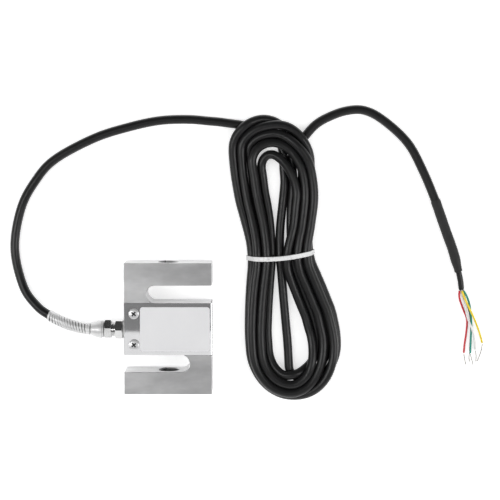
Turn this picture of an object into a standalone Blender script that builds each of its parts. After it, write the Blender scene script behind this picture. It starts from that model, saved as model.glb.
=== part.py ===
"""An S-type load cell with its cable, lying on its back. Metres, +Z up.

X runs across the cell, Y along its load axis and Z through its thickness. The origin is
under the middle of the steel body, on the surface that the cell lies on.
"""

import math

import bmesh
import bpy
from mathutils import Matrix, Vector

# Fits
clearance = 0.0003
overrun = 0.004
weldDistance = 0.000002

# Steel body
bodyWidth = 0.0508
bodyDepth = 0.01905
edgeBreak = 0.0003
armHeight = 0.013
slotHeight = 0.010
blockHeight = 0.0302
slotWall = 0.013
boreRadius = 0.006
boreChamfer = 0.0005

# Gauge cavity through the middle block
cavityRadius = 0.0075
cavitySpacing = 0.019
cavityBridge = 0.009

# Cover sheet, folded round the middle block
coverThickness = 0.0006
coverRecess = 0.0005
coverBendRadius = 0.001
coverCornerRadius = 0.0015
coverEdgeInset = 0.0003

# Cover screws
screwRadius = 0.0015
screwLength = 0.0055
screwHeadRadius = 0.003
screwHeadHeight = 0.0015
screwHeadRim = 0.0009
screwCrossLength = 0.0034
screwCrossWidth = 0.0007
screwCrossDepth = 0.0009
screwInset = 0.0059
screwEdge = 0.0061

# Label
labelThickness = 0.0002
labelCornerRadius = 0.0017
labelGap = 0.0005
labelSideMargin = 0.0016
labelEdgeMargin = 0.0023

# Cable
cableRadius = 0.0026
sheathRadius = 0.0017
wireRadius = 0.00058
strandRadius = 0.0003

# Cable gland on the left side
glandOffset = -0.0014
glandShankRadius = 0.004
glandShankLength = 0.0072
hexAcrossFlats = 0.0102
hexChamfer = 0.0006
flangeWidth = 0.0046
washerThickness = 0.0006
washerRadius = 0.0054
neckRadius = 0.00435
neckLength = 0.005
neckGap = 0.0019
grommetWall = 0.0005
clampWidth = 0.0044
clampLip = 0.0012
clampTurn = math.radians(12)
ferruleLength = 0.0075
ferruleRadius = 0.00515
ferruleNoseRadius = 0.00345
ferruleCollar = 0.0006
ferruleGroove = 0.0004
ferruleGrooveDepth = 0.0008
ferruleStraight = 0.0015

# Spring guard round the cable
guardTurns = 15
guardPitch = 0.00165
guardWireWidth = 0.00115
guardWireThickness = 0.0004
guardSteps = 16
guardLean = math.radians(34)
guardRise = 1.4

# Heat-shrink sleeve at the cable's end
sleeveRadius = 0.0029

# Strain gauges, terminal board and the leads between them
gaugeLength = 0.006
gaugeWidth = 0.004
gaugeThickness = 0.0003
boardLength = 0.011
boardDepth = 0.009
boardThickness = 0.0008
gaugeLeadRadius = 0.0003
gaugeLeadSpread = 0.003
gaugeLeadInset = 0.0012
gaugeLeadSweep = 0.0022
coreRadius = 0.0011
coreStraight = 0.0035
cableEntry = 0.001

# Hank of spare cable and the band round it
hankHeight = 0.0126
tieWidth = 0.0027
tieThickness = 0.001
tieCorner = 0.002
tieCentre = (0.0652, 0.0398)
tieTurn = math.radians(5.5)
tieInnerWidth = 0.0354

# How finely the tubes follow their routes
routeStep = 0.0005
routeDetail = 24
cableSpacing = 0.0112
guardRunSpacing = 0.0032
sheathSpacing = 0.0035
wireSpacing = 0.0028
tipSpacing = 0.0022
coreSpacing = 0.0018
gaugeLeadSpacing = 0.0012

# Places that follow from the sizes
bodyHeight = blockHeight + 2 * (slotHeight + armHeight)
blockHalf = blockHeight / 2
backHeadTop = 0.0
coverBackOuter = backHeadTop + screwHeadHeight + clearance
bodyBack = coverBackOuter + coverThickness + clearance - coverRecess
bodyFront = bodyBack + bodyDepth
bodyMiddle = bodyBack + bodyDepth / 2
coverFrontOuter = bodyFront - coverRecess + clearance + coverThickness
coverSideOuter = bodyWidth / 2 - coverRecess + clearance + coverThickness
screwX = -bodyWidth / 2 + screwInset
screwY = blockHalf - screwEdge
labelLeft = screwX + screwHeadRadius + labelGap
labelRight = coverSideOuter - labelSideMargin
labelHeight = blockHeight - 2 * labelEdgeMargin
cableBore = cableRadius + clearance
cableEndX = -cavitySpacing / 2 - cavityRadius + cableEntry
washerOuterX = -bodyWidth / 2 - clearance - washerThickness
flangeInnerX = washerOuterX - clearance
flangeOuterX = flangeInnerX - flangeWidth
clampInnerX = flangeOuterX - neckGap
neckEndX = flangeOuterX - neckLength
clampOuterX = clampInnerX - clampWidth
ferruleInnerX = clampOuterX - clearance
ferruleNoseX = ferruleInnerX - ferruleLength
cableFloor = cableRadius + 0.00005
sleeveFloor = sleeveRadius + 0.00005
wireFloor = wireRadius + 0.00005
wireOver = wireFloor + 2 * wireRadius + clearance
wireTop = wireOver + 2 * wireRadius + clearance

# The cable's route, from the gland's nose to the hank, and from the hank to the sleeve
leadRoute = [
    (ferruleNoseX - clearance, glandOffset, bodyMiddle),
    (ferruleNoseX - 0.0062, glandOffset + 0.0008, bodyMiddle - 0.0001),
    (-0.0577, 0.0010, bodyMiddle - 0.0005),
    (-0.0636, 0.0033, bodyMiddle - 0.0012),
    (-0.0699, 0.0064, bodyMiddle - 0.0025),
    (-0.0774, 0.0115, 0.0067),
    (-0.0858, 0.0228, 0.0036),
    (-0.0906, 0.0452, cableFloor),
    (-0.0865, 0.0687, cableFloor),
    (-0.0776, 0.0851, cableFloor),
    (-0.0661, 0.0973, cableFloor),
    (-0.0431, 0.1095, cableFloor),
    (-0.0225, 0.1160, cableFloor),
    (-0.0050, 0.1196, cableFloor),
    (0.0124, 0.1202, cableFloor),
    (0.0269, 0.1188, cableFloor),
    (0.0404, 0.1160, cableFloor),
]
tailRoute = [
    (0.0800, 0.1109, cableFloor),
    (0.0848, 0.1164, cableFloor),
    (0.0909, 0.1207, cableFloor),
    (0.1025, 0.1251, cableFloor),
    (0.1141, 0.1254, cableFloor),
    (0.1258, 0.1191, cableFloor),
    (0.1393, 0.1064, cableFloor),
    (0.1482, 0.0903, cableFloor),
    (0.1553, 0.0737, sleeveFloor),
]
sleeveRoute = [
    (0.1555, 0.0734, sleeveFloor),
    (0.1620, 0.0552, sleeveFloor),
    (0.1663, 0.0435, sleeveFloor),
    (0.1697, 0.0314, sleeveFloor),
]
sheathRoute = [
    (0.16978, 0.0310, sleeveFloor),
    (0.1709, 0.0259, 0.0027),
    (0.1716, 0.0205, 0.0025),
]
wireRoutes = {
    "red": [
        (0.1704, 0.0200, 0.0030),
        (0.1703, 0.0176, 0.0025),
        (0.1710, 0.0144, 0.0011),
        (0.1735, 0.0078, wireFloor),
        (0.1750, 0.0042, wireFloor),
        (0.1755, 0.0005, wireFloor),
        (0.1750, -0.0060, wireFloor),
        (0.1742, -0.0120, wireFloor),
        (0.1738, -0.0172, wireFloor),
    ],
    "yellow": [
        (0.1717, 0.0200, 0.00385),
        (0.1733, 0.0160, wireTop),
        (0.1760, 0.0102, wireTop),
        (0.1792, 0.0036, wireTop - 0.0006),
        (0.1824, -0.0041, 0.0015),
        (0.1846, -0.0113, wireFloor),
    ],
    "green": [
        (0.1729, 0.0200, 0.0029),
        (0.1749, 0.0165, 0.0023),
        (0.1765, 0.0120, wireOver),
        (0.1773, 0.0066, wireOver),
        (0.1779, -0.0005, wireOver),
        (0.1777, -0.0053, wireOver),
        (0.1776, -0.0095, wireOver),
        (0.1774, -0.0172, wireOver),
    ],
    "white": [
        (0.1710, 0.0200, 0.0016),
        (0.1719, 0.0173, 0.0017),
        (0.1729, 0.0142, 0.0022),
        (0.1744, 0.0085, wireOver),
        (0.1754, 0.0042, wireOver + 0.0002),
        (0.1766, 0.0008, wireTop),
        (0.1781, -0.0030, wireTop),
        (0.1796, -0.0082, 0.0018),
        (0.1806, -0.0153, wireFloor),
    ],
    "black": [
        (0.17245, 0.0200, 0.0016),
        (0.1741, 0.0150, 0.0008),
        (0.1762, 0.0095, wireFloor),
        (0.1773, 0.0050, wireFloor),
        (0.1779, -0.0010, wireFloor),
        (0.1777, -0.0100, wireFloor),
        (0.1775, -0.0160, wireFloor),
    ],
}
tipRoutes = {
    "red": [(0.1738, -0.0178, wireFloor), (0.1744, -0.0212, wireFloor), (0.1752, -0.0244, wireFloor)],
    "yellow": [(0.1847, -0.0119, wireFloor), (0.1840, -0.0160, wireFloor), (0.1819, -0.0222, wireFloor)],
    "green": [(0.1774, -0.0178, wireOver), (0.1785, -0.0212, 0.0013), (0.1793, -0.0244, wireFloor)],
    "white": [(0.1807, -0.0159, wireFloor), (0.1811, -0.0190, wireFloor), (0.1810, -0.0225, wireFloor)],
    "black": [(0.1775, -0.0166, wireFloor), (0.1769, -0.0195, wireFloor), (0.1772, -0.0226, wireFloor)],
}
hankOutline = [
    (0.0560, 0.1230),
    (0.0700, 0.1183),
    (0.0800, 0.1090),
    (0.0842, 0.0880),
    (0.0836, 0.0648),
    (0.0829, 0.0444),
    (0.0880, 0.0270),
    (0.0976, 0.0040),
    (0.0992, -0.0130),
    (0.0940, -0.0310),
    (0.0840, -0.0400),
    (0.0710, -0.0430),
    (0.0550, -0.0343),
    (0.0463, -0.0190),
    (0.0450, 0.0000),
    (0.0466, 0.0240),
    (0.0469, 0.0444),
    (0.0428, 0.0650),
    (0.0386, 0.0870),
    (0.0372, 0.1030),
    (0.0430, 0.1170),
]

wireColours = {
    "red": (0.62, 0.05, 0.07),
    "yellow": (0.85, 0.66, 0.05),
    "green": (0.03, 0.36, 0.27),
    "white": (0.85, 0.85, 0.83),
    "black": (0.02, 0.02, 0.02),
}


def makeMaterial(name, colour, roughness, metallic=0.0):
    material = bpy.data.materials.new(name)
    material.use_nodes = True
    shader = material.node_tree.nodes["Principled BSDF"]
    shader.inputs["Base Color"].default_value = (*colour, 1)
    shader.inputs["Roughness"].default_value = roughness
    shader.inputs["Metallic"].default_value = metallic
    return material


def addObject(name, data, material=None):
    """A part goes to the load cell's collection with its material, a cutter to the other one."""
    thing = bpy.data.objects.new(name, data)
    if material:
        partCollection.objects.link(thing)
        data.materials.clear()
        data.materials.append(material)
    else:
        cutterCollection.objects.link(thing)
        thing.hide_render = True
        thing.display_type = "WIRE"
    return thing


def meshFrom(bm, name):
    mesh = bpy.data.meshes.new(name)
    bm.to_mesh(mesh)
    bm.free()
    return mesh


def shadeRound(mesh):
    mesh.shade_smooth()
    mesh.set_sharp_from_angle(angle=math.radians(35))


def settle(thing, turn=None):
    """Turns an object's evaluated shape into its plain mesh, with its caps welded and facing out."""
    bpy.context.view_layer.update()
    evaluated = thing.evaluated_get(bpy.context.evaluated_depsgraph_get())
    mesh = bpy.data.meshes.new_from_object(evaluated)
    bm = bmesh.new()
    bm.from_mesh(mesh)
    bmesh.ops.remove_doubles(bm, verts=bm.verts, dist=weldDistance)
    openEdges = [edge for edge in bm.edges if edge.is_boundary]
    if openEdges:
        bmesh.ops.holes_fill(bm, edges=openEdges)
    if turn:
        bm.transform(turn)
    bmesh.ops.recalc_face_normals(bm, faces=bm.faces)
    bm.to_mesh(mesh)
    bm.free()
    name, material, place = thing.name, thing.active_material, thing.matrix_world.copy()
    cutters = [modifier.object for modifier in thing.modifiers if modifier.type == "BOOLEAN"]
    for old in [thing, *cutters]:
        bpy.data.objects.remove(old)
    settled = addObject(name, mesh, material)
    settled.matrix_world = place
    shadeRound(mesh)
    return settled


def boxShape(name, size, centre, material=None):
    bm = bmesh.new()
    bmesh.ops.create_cube(bm, size=1)
    bmesh.ops.scale(bm, vec=size, verts=bm.verts)
    thing = addObject(name, meshFrom(bm, name), material)
    thing.location = centre
    return thing


def rodShape(name, radius, start, end, segments=24, material=None):
    """A straight round rod between two points."""
    start, end = Vector(start), Vector(end)
    bm = bmesh.new()
    bmesh.ops.create_cone(
        bm, cap_ends=True, segments=segments, radius1=radius, radius2=radius, depth=(end - start).length
    )
    bm.transform((end - start).to_track_quat("Z", "Y").to_matrix().to_4x4())
    thing = addObject(name, meshFrom(bm, name), material)
    thing.location = (start + end) / 2
    shadeRound(thing.data)
    return thing


def turnedShape(name, profile, segments=32, material=None, closed=False):
    """A profile of (radius, height) points, turned round Z with a Screw modifier."""
    bm = bmesh.new()
    points = [bm.verts.new((radius, 0, height)) for radius, height in profile]
    for first, second in zip(points, points[1:]):
        bm.edges.new((first, second))
    if closed:
        bm.edges.new((points[-1], points[0]))
    thing = addObject(name, meshFrom(bm, name), material)
    screw = thing.modifiers.new("Turn", "SCREW")
    screw.axis = "Z"
    screw.steps = screw.render_steps = segments
    screw.use_merge_vertices = True
    screw.merge_threshold = weldDistance
    return thing


def alongX(centreY, centreZ):
    """Turns a shape made round Z so that its height runs along X, at that place."""
    return Matrix.Translation((0, centreY, centreZ)) @ Matrix.Rotation(math.pi / 2, 4, "Y")


def alongY(centreX, centreZ):
    return Matrix.Translation((centreX, 0, centreZ)) @ Matrix.Rotation(-math.pi / 2, 4, "X")


def turnedOnGland(name, profile, segments=32, material=None, closed=True):
    """A turned piece on the gland's axis, from points of (x, radius)."""
    thing = turnedShape(name, [(radius, x) for x, radius in profile], segments, material, closed)
    return settle(thing, alongX(glandOffset, bodyMiddle))


def plateShape(name, outlines, thickness, material=None):
    """A flat outline, or one with a hole, as a plate with its middle at height 0."""
    curve = bpy.data.curves.new(name, "CURVE")
    curve.dimensions = "2D"
    curve.fill_mode = "BOTH"
    curve.extrude = thickness / 2
    for outline in outlines:
        spline = curve.splines.new("POLY")
        spline.points.add(len(outline) - 1)
        for point, (x, y) in zip(spline.points, outline):
            point.co = (x, y, 0, 1)
        spline.use_cyclic_u = True
    return settle(addObject(name, curve, material))


def arc(centreX, centreY, radius, start, end, steps):
    """Points along an arc, from one angle in degrees to the other."""
    angles = [math.radians(start + (end - start) * step / steps) for step in range(steps + 1)]
    return [(centreX + radius * math.cos(a), centreY + radius * math.sin(a)) for a in angles]


def roundedRectangle(width, height, radius, steps=5):
    x, y = width / 2 - radius, height / 2 - radius
    corners = [(x, y, 0), (-x, y, 90), (-x, -y, 180), (x, -y, 270)]
    return [p for cx, cy, start in corners for p in arc(cx, cy, radius, start, start + 90, steps)]


def curvePoints(a, b, c, d, steps):
    """Points of the Catmull-Rom curve from b up to c, with a before them and d after."""
    shares = [step / steps for step in range(steps)]
    slope, bend, twist = c - a, 2 * a - 5 * b + 4 * c - d, 3 * b - a - 3 * c + d
    return [b + 0.5 * (slope * t + bend * t**2 + twist * t**3) for t in shares]


def smoothRoute(points, spacing):
    """A smooth curve through the points, read again at even steps."""
    points = [Vector(p) for p in points]
    padded = [2 * points[0] - points[1], *points, 2 * points[-1] - points[-2]]
    fine = []
    for corners in zip(padded, padded[1:], padded[2:], padded[3:]):
        fine += curvePoints(*corners, routeDetail)
    fine.append(points[-1])
    lengths = [0.0]
    for first, second in zip(fine, fine[1:]):
        lengths.append(lengths[-1] + (second - first).length)
    count = max(2, round(lengths[-1] / spacing))
    return [pointAt(fine, lengths, lengths[-1] * step / count) for step in range(count + 1)]


def pointAt(line, lengths, distance):
    """The point that far along a line, past either end in its direction."""
    index = 1
    while index < len(line) - 1 and lengths[index] < distance:
        index += 1
    share = (distance - lengths[index - 1]) / (lengths[index] - lengths[index - 1])
    return line[index - 1].lerp(line[index], share)


def smoothLoop(points, steps):
    """A closed smooth curve through flat points, with so many steps from each to the next."""
    points = [Vector(p) for p in points]
    count = len(points)
    loop = []
    for i in range(count):
        corners = [points[(i + k) % count] for k in (-1, 0, 1, 2)]
        loop += curvePoints(*corners, steps)
    return [tuple(p) for p in loop]


def tubeShape(name, route, radius, material, spacing, resolution=2):
    """A round tube along a smooth curve through the route's points."""
    points = smoothRoute(route, spacing)
    curve = bpy.data.curves.new(name, "CURVE")
    curve.dimensions = "3D"
    curve.bevel_depth = radius
    curve.bevel_resolution = resolution
    curve.use_fill_caps = True
    spline = curve.splines.new("POLY")
    spline.points.add(len(points) - 1)
    for point, place in zip(spline.points, points):
        point.co = (*place, 1)
    return addObject(name, curve, material)


def addBoolean(thing, cutter, operation="DIFFERENCE"):
    modifier = thing.modifiers.new(cutter.name, "BOOLEAN")
    modifier.operation = operation
    modifier.object = cutter
    modifier.solver = "EXACT"


def slotCutter(name, side, centreY):
    """A slot with one full round end, open towards side (1 is +X) from its closed end."""
    radius = slotHeight / 2
    roundX = -side * (bodyWidth / 2 - slotWall - radius)
    openX = side * (bodyWidth / 2 + overrun)
    closedEnd = arc(roundX, centreY, radius, 90 * side, 90 * side + 180, 16)
    outline = closedEnd + [(openX, centreY - side * radius), (openX, centreY + side * radius)]
    cutter = plateShape(name, [outline], bodyDepth + 2 * overrun)
    cutter.location.z = bodyMiddle
    return cutter


def boreCutter(name, lowY, highY):
    """A round bore along Y with a chamfer at both mouths."""
    mouth = boreRadius + boreChamfer
    profile = [
        (0, highY + overrun),
        (mouth + overrun, highY + overrun),
        (mouth, highY),
        (boreRadius, highY - boreChamfer),
        (boreRadius, lowY + boreChamfer),
        (mouth, lowY),
        (mouth + overrun, lowY - overrun),
        (0, lowY - overrun),
    ]
    return settle(turnedShape(name, profile, 40), alongY(0, bodyMiddle))


def makeBeam(material):
    """The S: two arms, two slots and the middle block with its cavity, port and screw holes."""
    beam = boxShape("beam_body", (bodyWidth, bodyHeight, bodyDepth), (0, 0, bodyMiddle), material)
    bevel = beam.modifiers.new("Edges", "BEVEL")
    bevel.width = edgeBreak
    bevel.segments = 1
    slotCentre = blockHalf + slotHeight / 2
    addBoolean(beam, slotCutter("upper_slot_cut", 1, slotCentre))
    addBoolean(beam, slotCutter("lower_slot_cut", -1, -slotCentre))

    recessHeight = 2 * (blockHalf + coverEdgeInset)
    recessSlab = coverRecess + overrun
    for name, z in (("front", bodyFront), ("back", bodyBack)):
        outward = 1 if name == "front" else -1
        centreZ = z + outward * (recessSlab / 2 - coverRecess)
        size = (bodyWidth + 2 * overrun, recessHeight, recessSlab)
        addBoolean(beam, boxShape(f"{name}_recess_cut", size, (0, 0, centreZ)))
    sideX = bodyWidth / 2 - coverRecess + recessSlab / 2
    size = (recessSlab, recessHeight, bodyDepth + 2 * overrun)
    addBoolean(beam, boxShape("side_recess_cut", size, (sideX, 0, bodyMiddle)))

    armInner = bodyHeight / 2 - armHeight
    addBoolean(beam, boreCutter("upper_bore_cut", armInner, bodyHeight / 2))
    addBoolean(beam, boreCutter("lower_bore_cut", -bodyHeight / 2, -armInner))

    neckAngle = math.degrees(math.asin(cavityBridge / 2 / cavityRadius))
    cavityX = cavitySpacing / 2
    cavity = arc(cavityX, 0, cavityRadius, neckAngle - 180, 180 - neckAngle, 24)
    cavity += arc(-cavityX, 0, cavityRadius, neckAngle, 360 - neckAngle, 24)
    cavityCut = plateShape("cavity_cut", [cavity], bodyDepth + 2 * overrun)
    cavityCut.location.z = bodyMiddle
    addBoolean(beam, cavityCut)

    portRadius = glandShankRadius + clearance
    start = (-bodyWidth / 2 - overrun, glandOffset, bodyMiddle)
    end = (-cavityX, glandOffset, bodyMiddle)
    addBoolean(beam, rodShape("port_cut", portRadius, start, end, 32))

    holeRadius = screwRadius + clearance
    for side, face in (("front", bodyFront - coverRecess), ("back", bodyBack + coverRecess)):
        outward = 1 if side == "front" else -1
        for level, y in (("upper", screwY), ("lower", -screwY)):
            start = (screwX, y, face + outward * overrun)
            end = (screwX, y, face - outward * (screwLength + clearance))
            addBoolean(beam, rodShape(f"{side}_{level}_hole_cut", holeRadius, start, end, 16))


def makeCover(material):
    """Thin sheet folded round the middle block's front, right side and back."""
    radius = coverBendRadius - coverThickness / 2
    left = -bodyWidth / 2 + coverEdgeInset
    right = coverSideOuter - coverThickness / 2
    front = coverFrontOuter - coverThickness / 2
    back = coverBackOuter + coverThickness / 2
    fold = [(left, front)]
    fold += arc(right - radius, front - radius, radius, 90, 0, 5)
    fold += arc(right - radius, back + radius, radius, 0, -90, 5)
    fold += [(left, back)]
    bm = bmesh.new()
    points = [bm.verts.new((x, blockHalf + overrun, z)) for x, z in fold]
    edges = [bm.edges.new(pair) for pair in zip(points, points[1:])]
    pulled = bmesh.ops.extrude_edge_only(bm, edges=edges)
    moved = [item for item in pulled["geom"] if isinstance(item, bmesh.types.BMVert)]
    bmesh.ops.translate(bm, verts=moved, vec=(0, -2 * (blockHalf + overrun), 0))
    bmesh.ops.recalc_face_normals(bm, faces=bm.faces)
    cover = addObject("cover_shell", meshFrom(bm, "cover_shell"), material)
    thicken = cover.modifiers.new("Sheet", "SOLIDIFY")
    thicken.thickness = coverThickness
    thicken.offset = 0
    thicken.use_even_offset = True

    x, y, corner = coverSideOuter, blockHalf, coverCornerRadius
    outline = arc(x - corner, y - corner, corner, 0, 90, 5)
    outline += [(-bodyWidth, y), (-bodyWidth, -y)]
    outline += arc(x - corner, -y + corner, corner, -90, 0, 5)
    trim = plateShape("cover_outline_cut", [outline], bodyDepth + 2 * overrun)
    trim.location.z = bodyMiddle
    addBoolean(cover, trim, "INTERSECT")
    for level, y in (("upper", screwY), ("lower", -screwY)):
        start, end = (screwX, y, bodyBack - overrun), (screwX, y, bodyFront + overrun)
        addBoolean(cover, rodShape(f"cover_{level}_hole_cut", screwRadius + clearance, start, end, 16))
    return settle(cover)


def makeScrew(name, place, outward, turn, material):
    """A pan-head screw with a crossed recess, its head's underside at its own height 0."""
    bottom = -screwLength
    tip = screwRadius / 3
    rise = screwHeadHeight - screwHeadRim
    dome = [
        (screwHeadRadius * math.sin(math.radians(a)), screwHeadRim + rise * math.cos(math.radians(a)))
        for a in (0, 22, 45, 68, 90)
    ]
    profile = dome + [
        (screwHeadRadius, 0),
        (screwRadius, 0),
        (screwRadius, bottom + tip),
        (screwRadius - tip, bottom),
        (0, bottom),
    ]
    screw = settle(turnedShape(name, profile, 24, material))
    for arm in range(2):
        size = (screwCrossLength, screwCrossWidth, 2 * screwCrossDepth)
        cut = boxShape(f"{name}_cross_{arm}", size, (0, 0, screwHeadHeight))
        cut.rotation_euler.z = turn + arm * math.pi / 2
        addBoolean(screw, cut)
    screw = settle(screw)
    screw.location = place
    screw.rotation_euler = (0, 0, 0) if outward > 0 else (math.pi, 0, 0)
    return screw


def makeScrews(material):
    turns = {"front_upper": 52, "front_lower": 38, "back_upper": 15, "back_lower": 70}
    for name, degrees in turns.items():
        outward = 1 if name.startswith("front") else -1
        y = screwY if name.endswith("upper") else -screwY
        face = coverFrontOuter + clearance if outward > 0 else coverBackOuter - clearance
        makeScrew(f"cover_screw_{name}", (screwX, y, face), outward, math.radians(degrees), material)


def makeLabel(material):
    outline = roundedRectangle(labelRight - labelLeft, labelHeight, labelCornerRadius)
    label = plateShape("label_plate", [outline], labelThickness, material)
    label.location = ((labelLeft + labelRight) / 2, 0, coverFrontOuter + clearance + labelThickness / 2)


def hexShape(name, innerX, outerX, turn, material=None):
    """A hexagon with chamfered corners on the gland's axis, a corner up before its turn."""
    cornerRadius = hexAcrossFlats / math.sqrt(3)
    width = innerX - outerX
    bm = bmesh.new()
    bmesh.ops.create_cone(
        bm, cap_ends=True, segments=6, radius1=cornerRadius, radius2=cornerRadius, depth=width
    )
    placing = Matrix.Translation(((innerX + outerX) / 2, glandOffset, bodyMiddle))
    cornerUp = Matrix.Rotation(math.pi / 2 - turn, 4, "X") @ Matrix.Rotation(math.pi / 2, 4, "Y")
    bm.transform(placing @ cornerUp)
    hexagon = addObject(name, meshFrom(bm, name), material)
    faceRadius = hexAcrossFlats / 2
    barrel = [
        (innerX + clearance, 0),
        (innerX + clearance, faceRadius - clearance),
        (innerX - hexChamfer, cornerRadius + clearance),
        (outerX + hexChamfer, cornerRadius + clearance),
        (outerX - clearance, faceRadius - clearance),
        (outerX - clearance, 0),
    ]
    addBoolean(hexagon, turnedOnGland(f"{name}_barrel", barrel, 48, closed=False), "INTERSECT")
    return settle(hexagon)


def makeGland(metal, rubber, washerMaterial):
    """The gland's flange and neck, its washer, grommet, clamping nut and ferrule."""
    y, z = glandOffset, bodyMiddle
    grommetRadius = cableBore + grommetWall
    seatRadius = grommetRadius + clearance
    seatX = flangeOuterX - clearance
    shankEndX = -bodyWidth / 2 + glandShankLength

    body = hexShape("gland_body", flangeInnerX, flangeOuterX, 0, metal)
    middle = ((flangeInnerX + flangeOuterX) / 2, y, z)
    shank = rodShape("gland_shank_add", glandShankRadius, middle, (shankEndX, y, z), 32)
    neck = rodShape("gland_neck_add", neckRadius, middle, (neckEndX, y, z), 32)
    addBoolean(body, shank, "UNION")
    addBoolean(body, neck, "UNION")
    bore = [
        (shankEndX + overrun, 0),
        (shankEndX + overrun, cableBore),
        (seatX, cableBore),
        (seatX, seatRadius),
        (neckEndX - overrun, seatRadius),
        (neckEndX - overrun, 0),
    ]
    addBoolean(body, turnedOnGland("gland_bore_cut", bore, 32, closed=False))
    settle(body)

    washerInnerX = -bodyWidth / 2 - clearance
    hole = glandShankRadius + clearance
    ring = [
        (washerInnerX, hole),
        (washerInnerX, washerRadius),
        (washerOuterX, washerRadius),
        (washerOuterX, hole),
    ]
    turnedOnGland("seal_washer", ring, 40, washerMaterial)

    grommetInnerX, grommetOuterX = seatX - clearance, neckEndX
    ring = [
        (grommetInnerX, cableBore),
        (grommetInnerX, grommetRadius),
        (grommetOuterX, grommetRadius),
        (grommetOuterX, cableBore),
    ]
    turnedOnGland("gland_grommet", ring, 32, rubber)

    nut = hexShape("clamp_nut", clampInnerX, clampOuterX, clampTurn, metal)
    lipX = clampOuterX + clampLip
    threadRadius = neckRadius + clearance
    bore = [
        (clampInnerX + overrun, 0),
        (clampInnerX + overrun, threadRadius),
        (lipX, threadRadius),
        (lipX, cableBore),
        (clampOuterX - overrun, cableBore),
        (clampOuterX - overrun, 0),
    ]
    addBoolean(nut, turnedOnGland("clamp_bore_cut", bore, 32, closed=False))
    settle(nut)

    grooveRadius = ferruleRadius - ferruleGrooveDepth
    collarX = ferruleInnerX - ferruleCollar
    grooveX = collarX - ferruleGroove
    profile = [
        (ferruleInnerX, cableBore),
        (ferruleInnerX, grooveRadius + ferruleGrooveDepth / 2),
        (collarX, grooveRadius + ferruleGrooveDepth / 2),
        (collarX, grooveRadius),
        (grooveX, grooveRadius),
        (grooveX, ferruleRadius),
        (grooveX - ferruleStraight, ferruleRadius),
        (ferruleNoseX, ferruleNoseRadius),
        (ferruleNoseX, cableBore),
    ]
    turnedOnGland("guard_ferrule", profile, 32, metal)


def makeGuard(material):
    """A flat-wire spring round the cable, wound straight with a Screw and then bent along it."""
    inner = cableRadius + clearance
    outer = inner + guardWireThickness
    bm = bmesh.new()
    corners = [(inner, 0), (outer, 0), (outer, guardWireWidth), (inner, guardWireWidth)]
    points = [bm.verts.new((radius, 0, height)) for radius, height in corners]
    for first, second in zip(points, points[1:] + points[:1]):
        bm.edges.new((first, second))
    guard = addObject("spring_guard", meshFrom(bm, "spring_guard"), material)
    winding = guard.modifiers.new("Winding", "SCREW")
    winding.axis = "Z"
    winding.steps = winding.render_steps = guardSteps
    winding.iterations = guardTurns
    winding.screw_offset = guardPitch
    guard = settle(guard)

    route = smoothRoute(leadRoute, routeStep)
    lengths = [0.0]
    for first, second in zip(route, route[1:]):
        lengths.append(lengths[-1] + (second - first).length)
    length = guardTurns * guardPitch + guardWireWidth
    for vertex in guard.data.vertices:
        across, up, along = vertex.co
        lean = math.tan(guardLean) * math.sin(math.pi * min(1, max(0, along / length)) ** guardRise)
        distance = clearance + max(0.0, along + lean * across)
        centre = pointAt(route, lengths, distance)
        forward = (pointAt(route, lengths, distance + 2 * routeStep) - centre).normalized()
        side = forward.cross(Vector((0, 0, 1))).normalized()
        vertex.co = centre + side * across + side.cross(forward).normalized() * up
    bm = bmesh.new()
    bm.from_mesh(guard.data)
    bmesh.ops.recalc_face_normals(bm, faces=bm.faces)
    bm.to_mesh(guard.data)
    bm.free()


def gaugePlace(number):
    """Which side and level of the cavity a gauge sits on: (-1 or 1, -1 or 1)."""
    return (-1 if number in (1, 3) else 1), (1 if number in (1, 2) else -1)


def makeGauges(material):
    """Foil gauges bonded to the thin walls over and under the cavity's two holes."""
    radius = cavityRadius - clearance - gaugeThickness / 2
    half = math.degrees(gaugeLength / 2 / cavityRadius)
    for number in (1, 2, 3, 4):
        side, level = gaugePlace(number)
        strip = arc(side * cavitySpacing / 2, 0, radius, 90 * level - half, 90 * level + half, 8)
        bm = bmesh.new()
        points = [bm.verts.new((x, y, bodyMiddle - gaugeWidth / 2)) for x, y in strip]
        edges = [bm.edges.new(pair) for pair in zip(points, points[1:])]
        pulled = bmesh.ops.extrude_edge_only(bm, edges=edges)
        moved = [item for item in pulled["geom"] if isinstance(item, bmesh.types.BMVert)]
        bmesh.ops.translate(bm, verts=moved, vec=(0, 0, gaugeWidth))
        name = f"strain_gauge_{number}"
        gauge = addObject(name, meshFrom(bm, name), material)
        foil = gauge.modifiers.new("Foil", "SOLIDIFY")
        foil.thickness = gaugeThickness
        foil.offset = 0
        settle(gauge)


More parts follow.
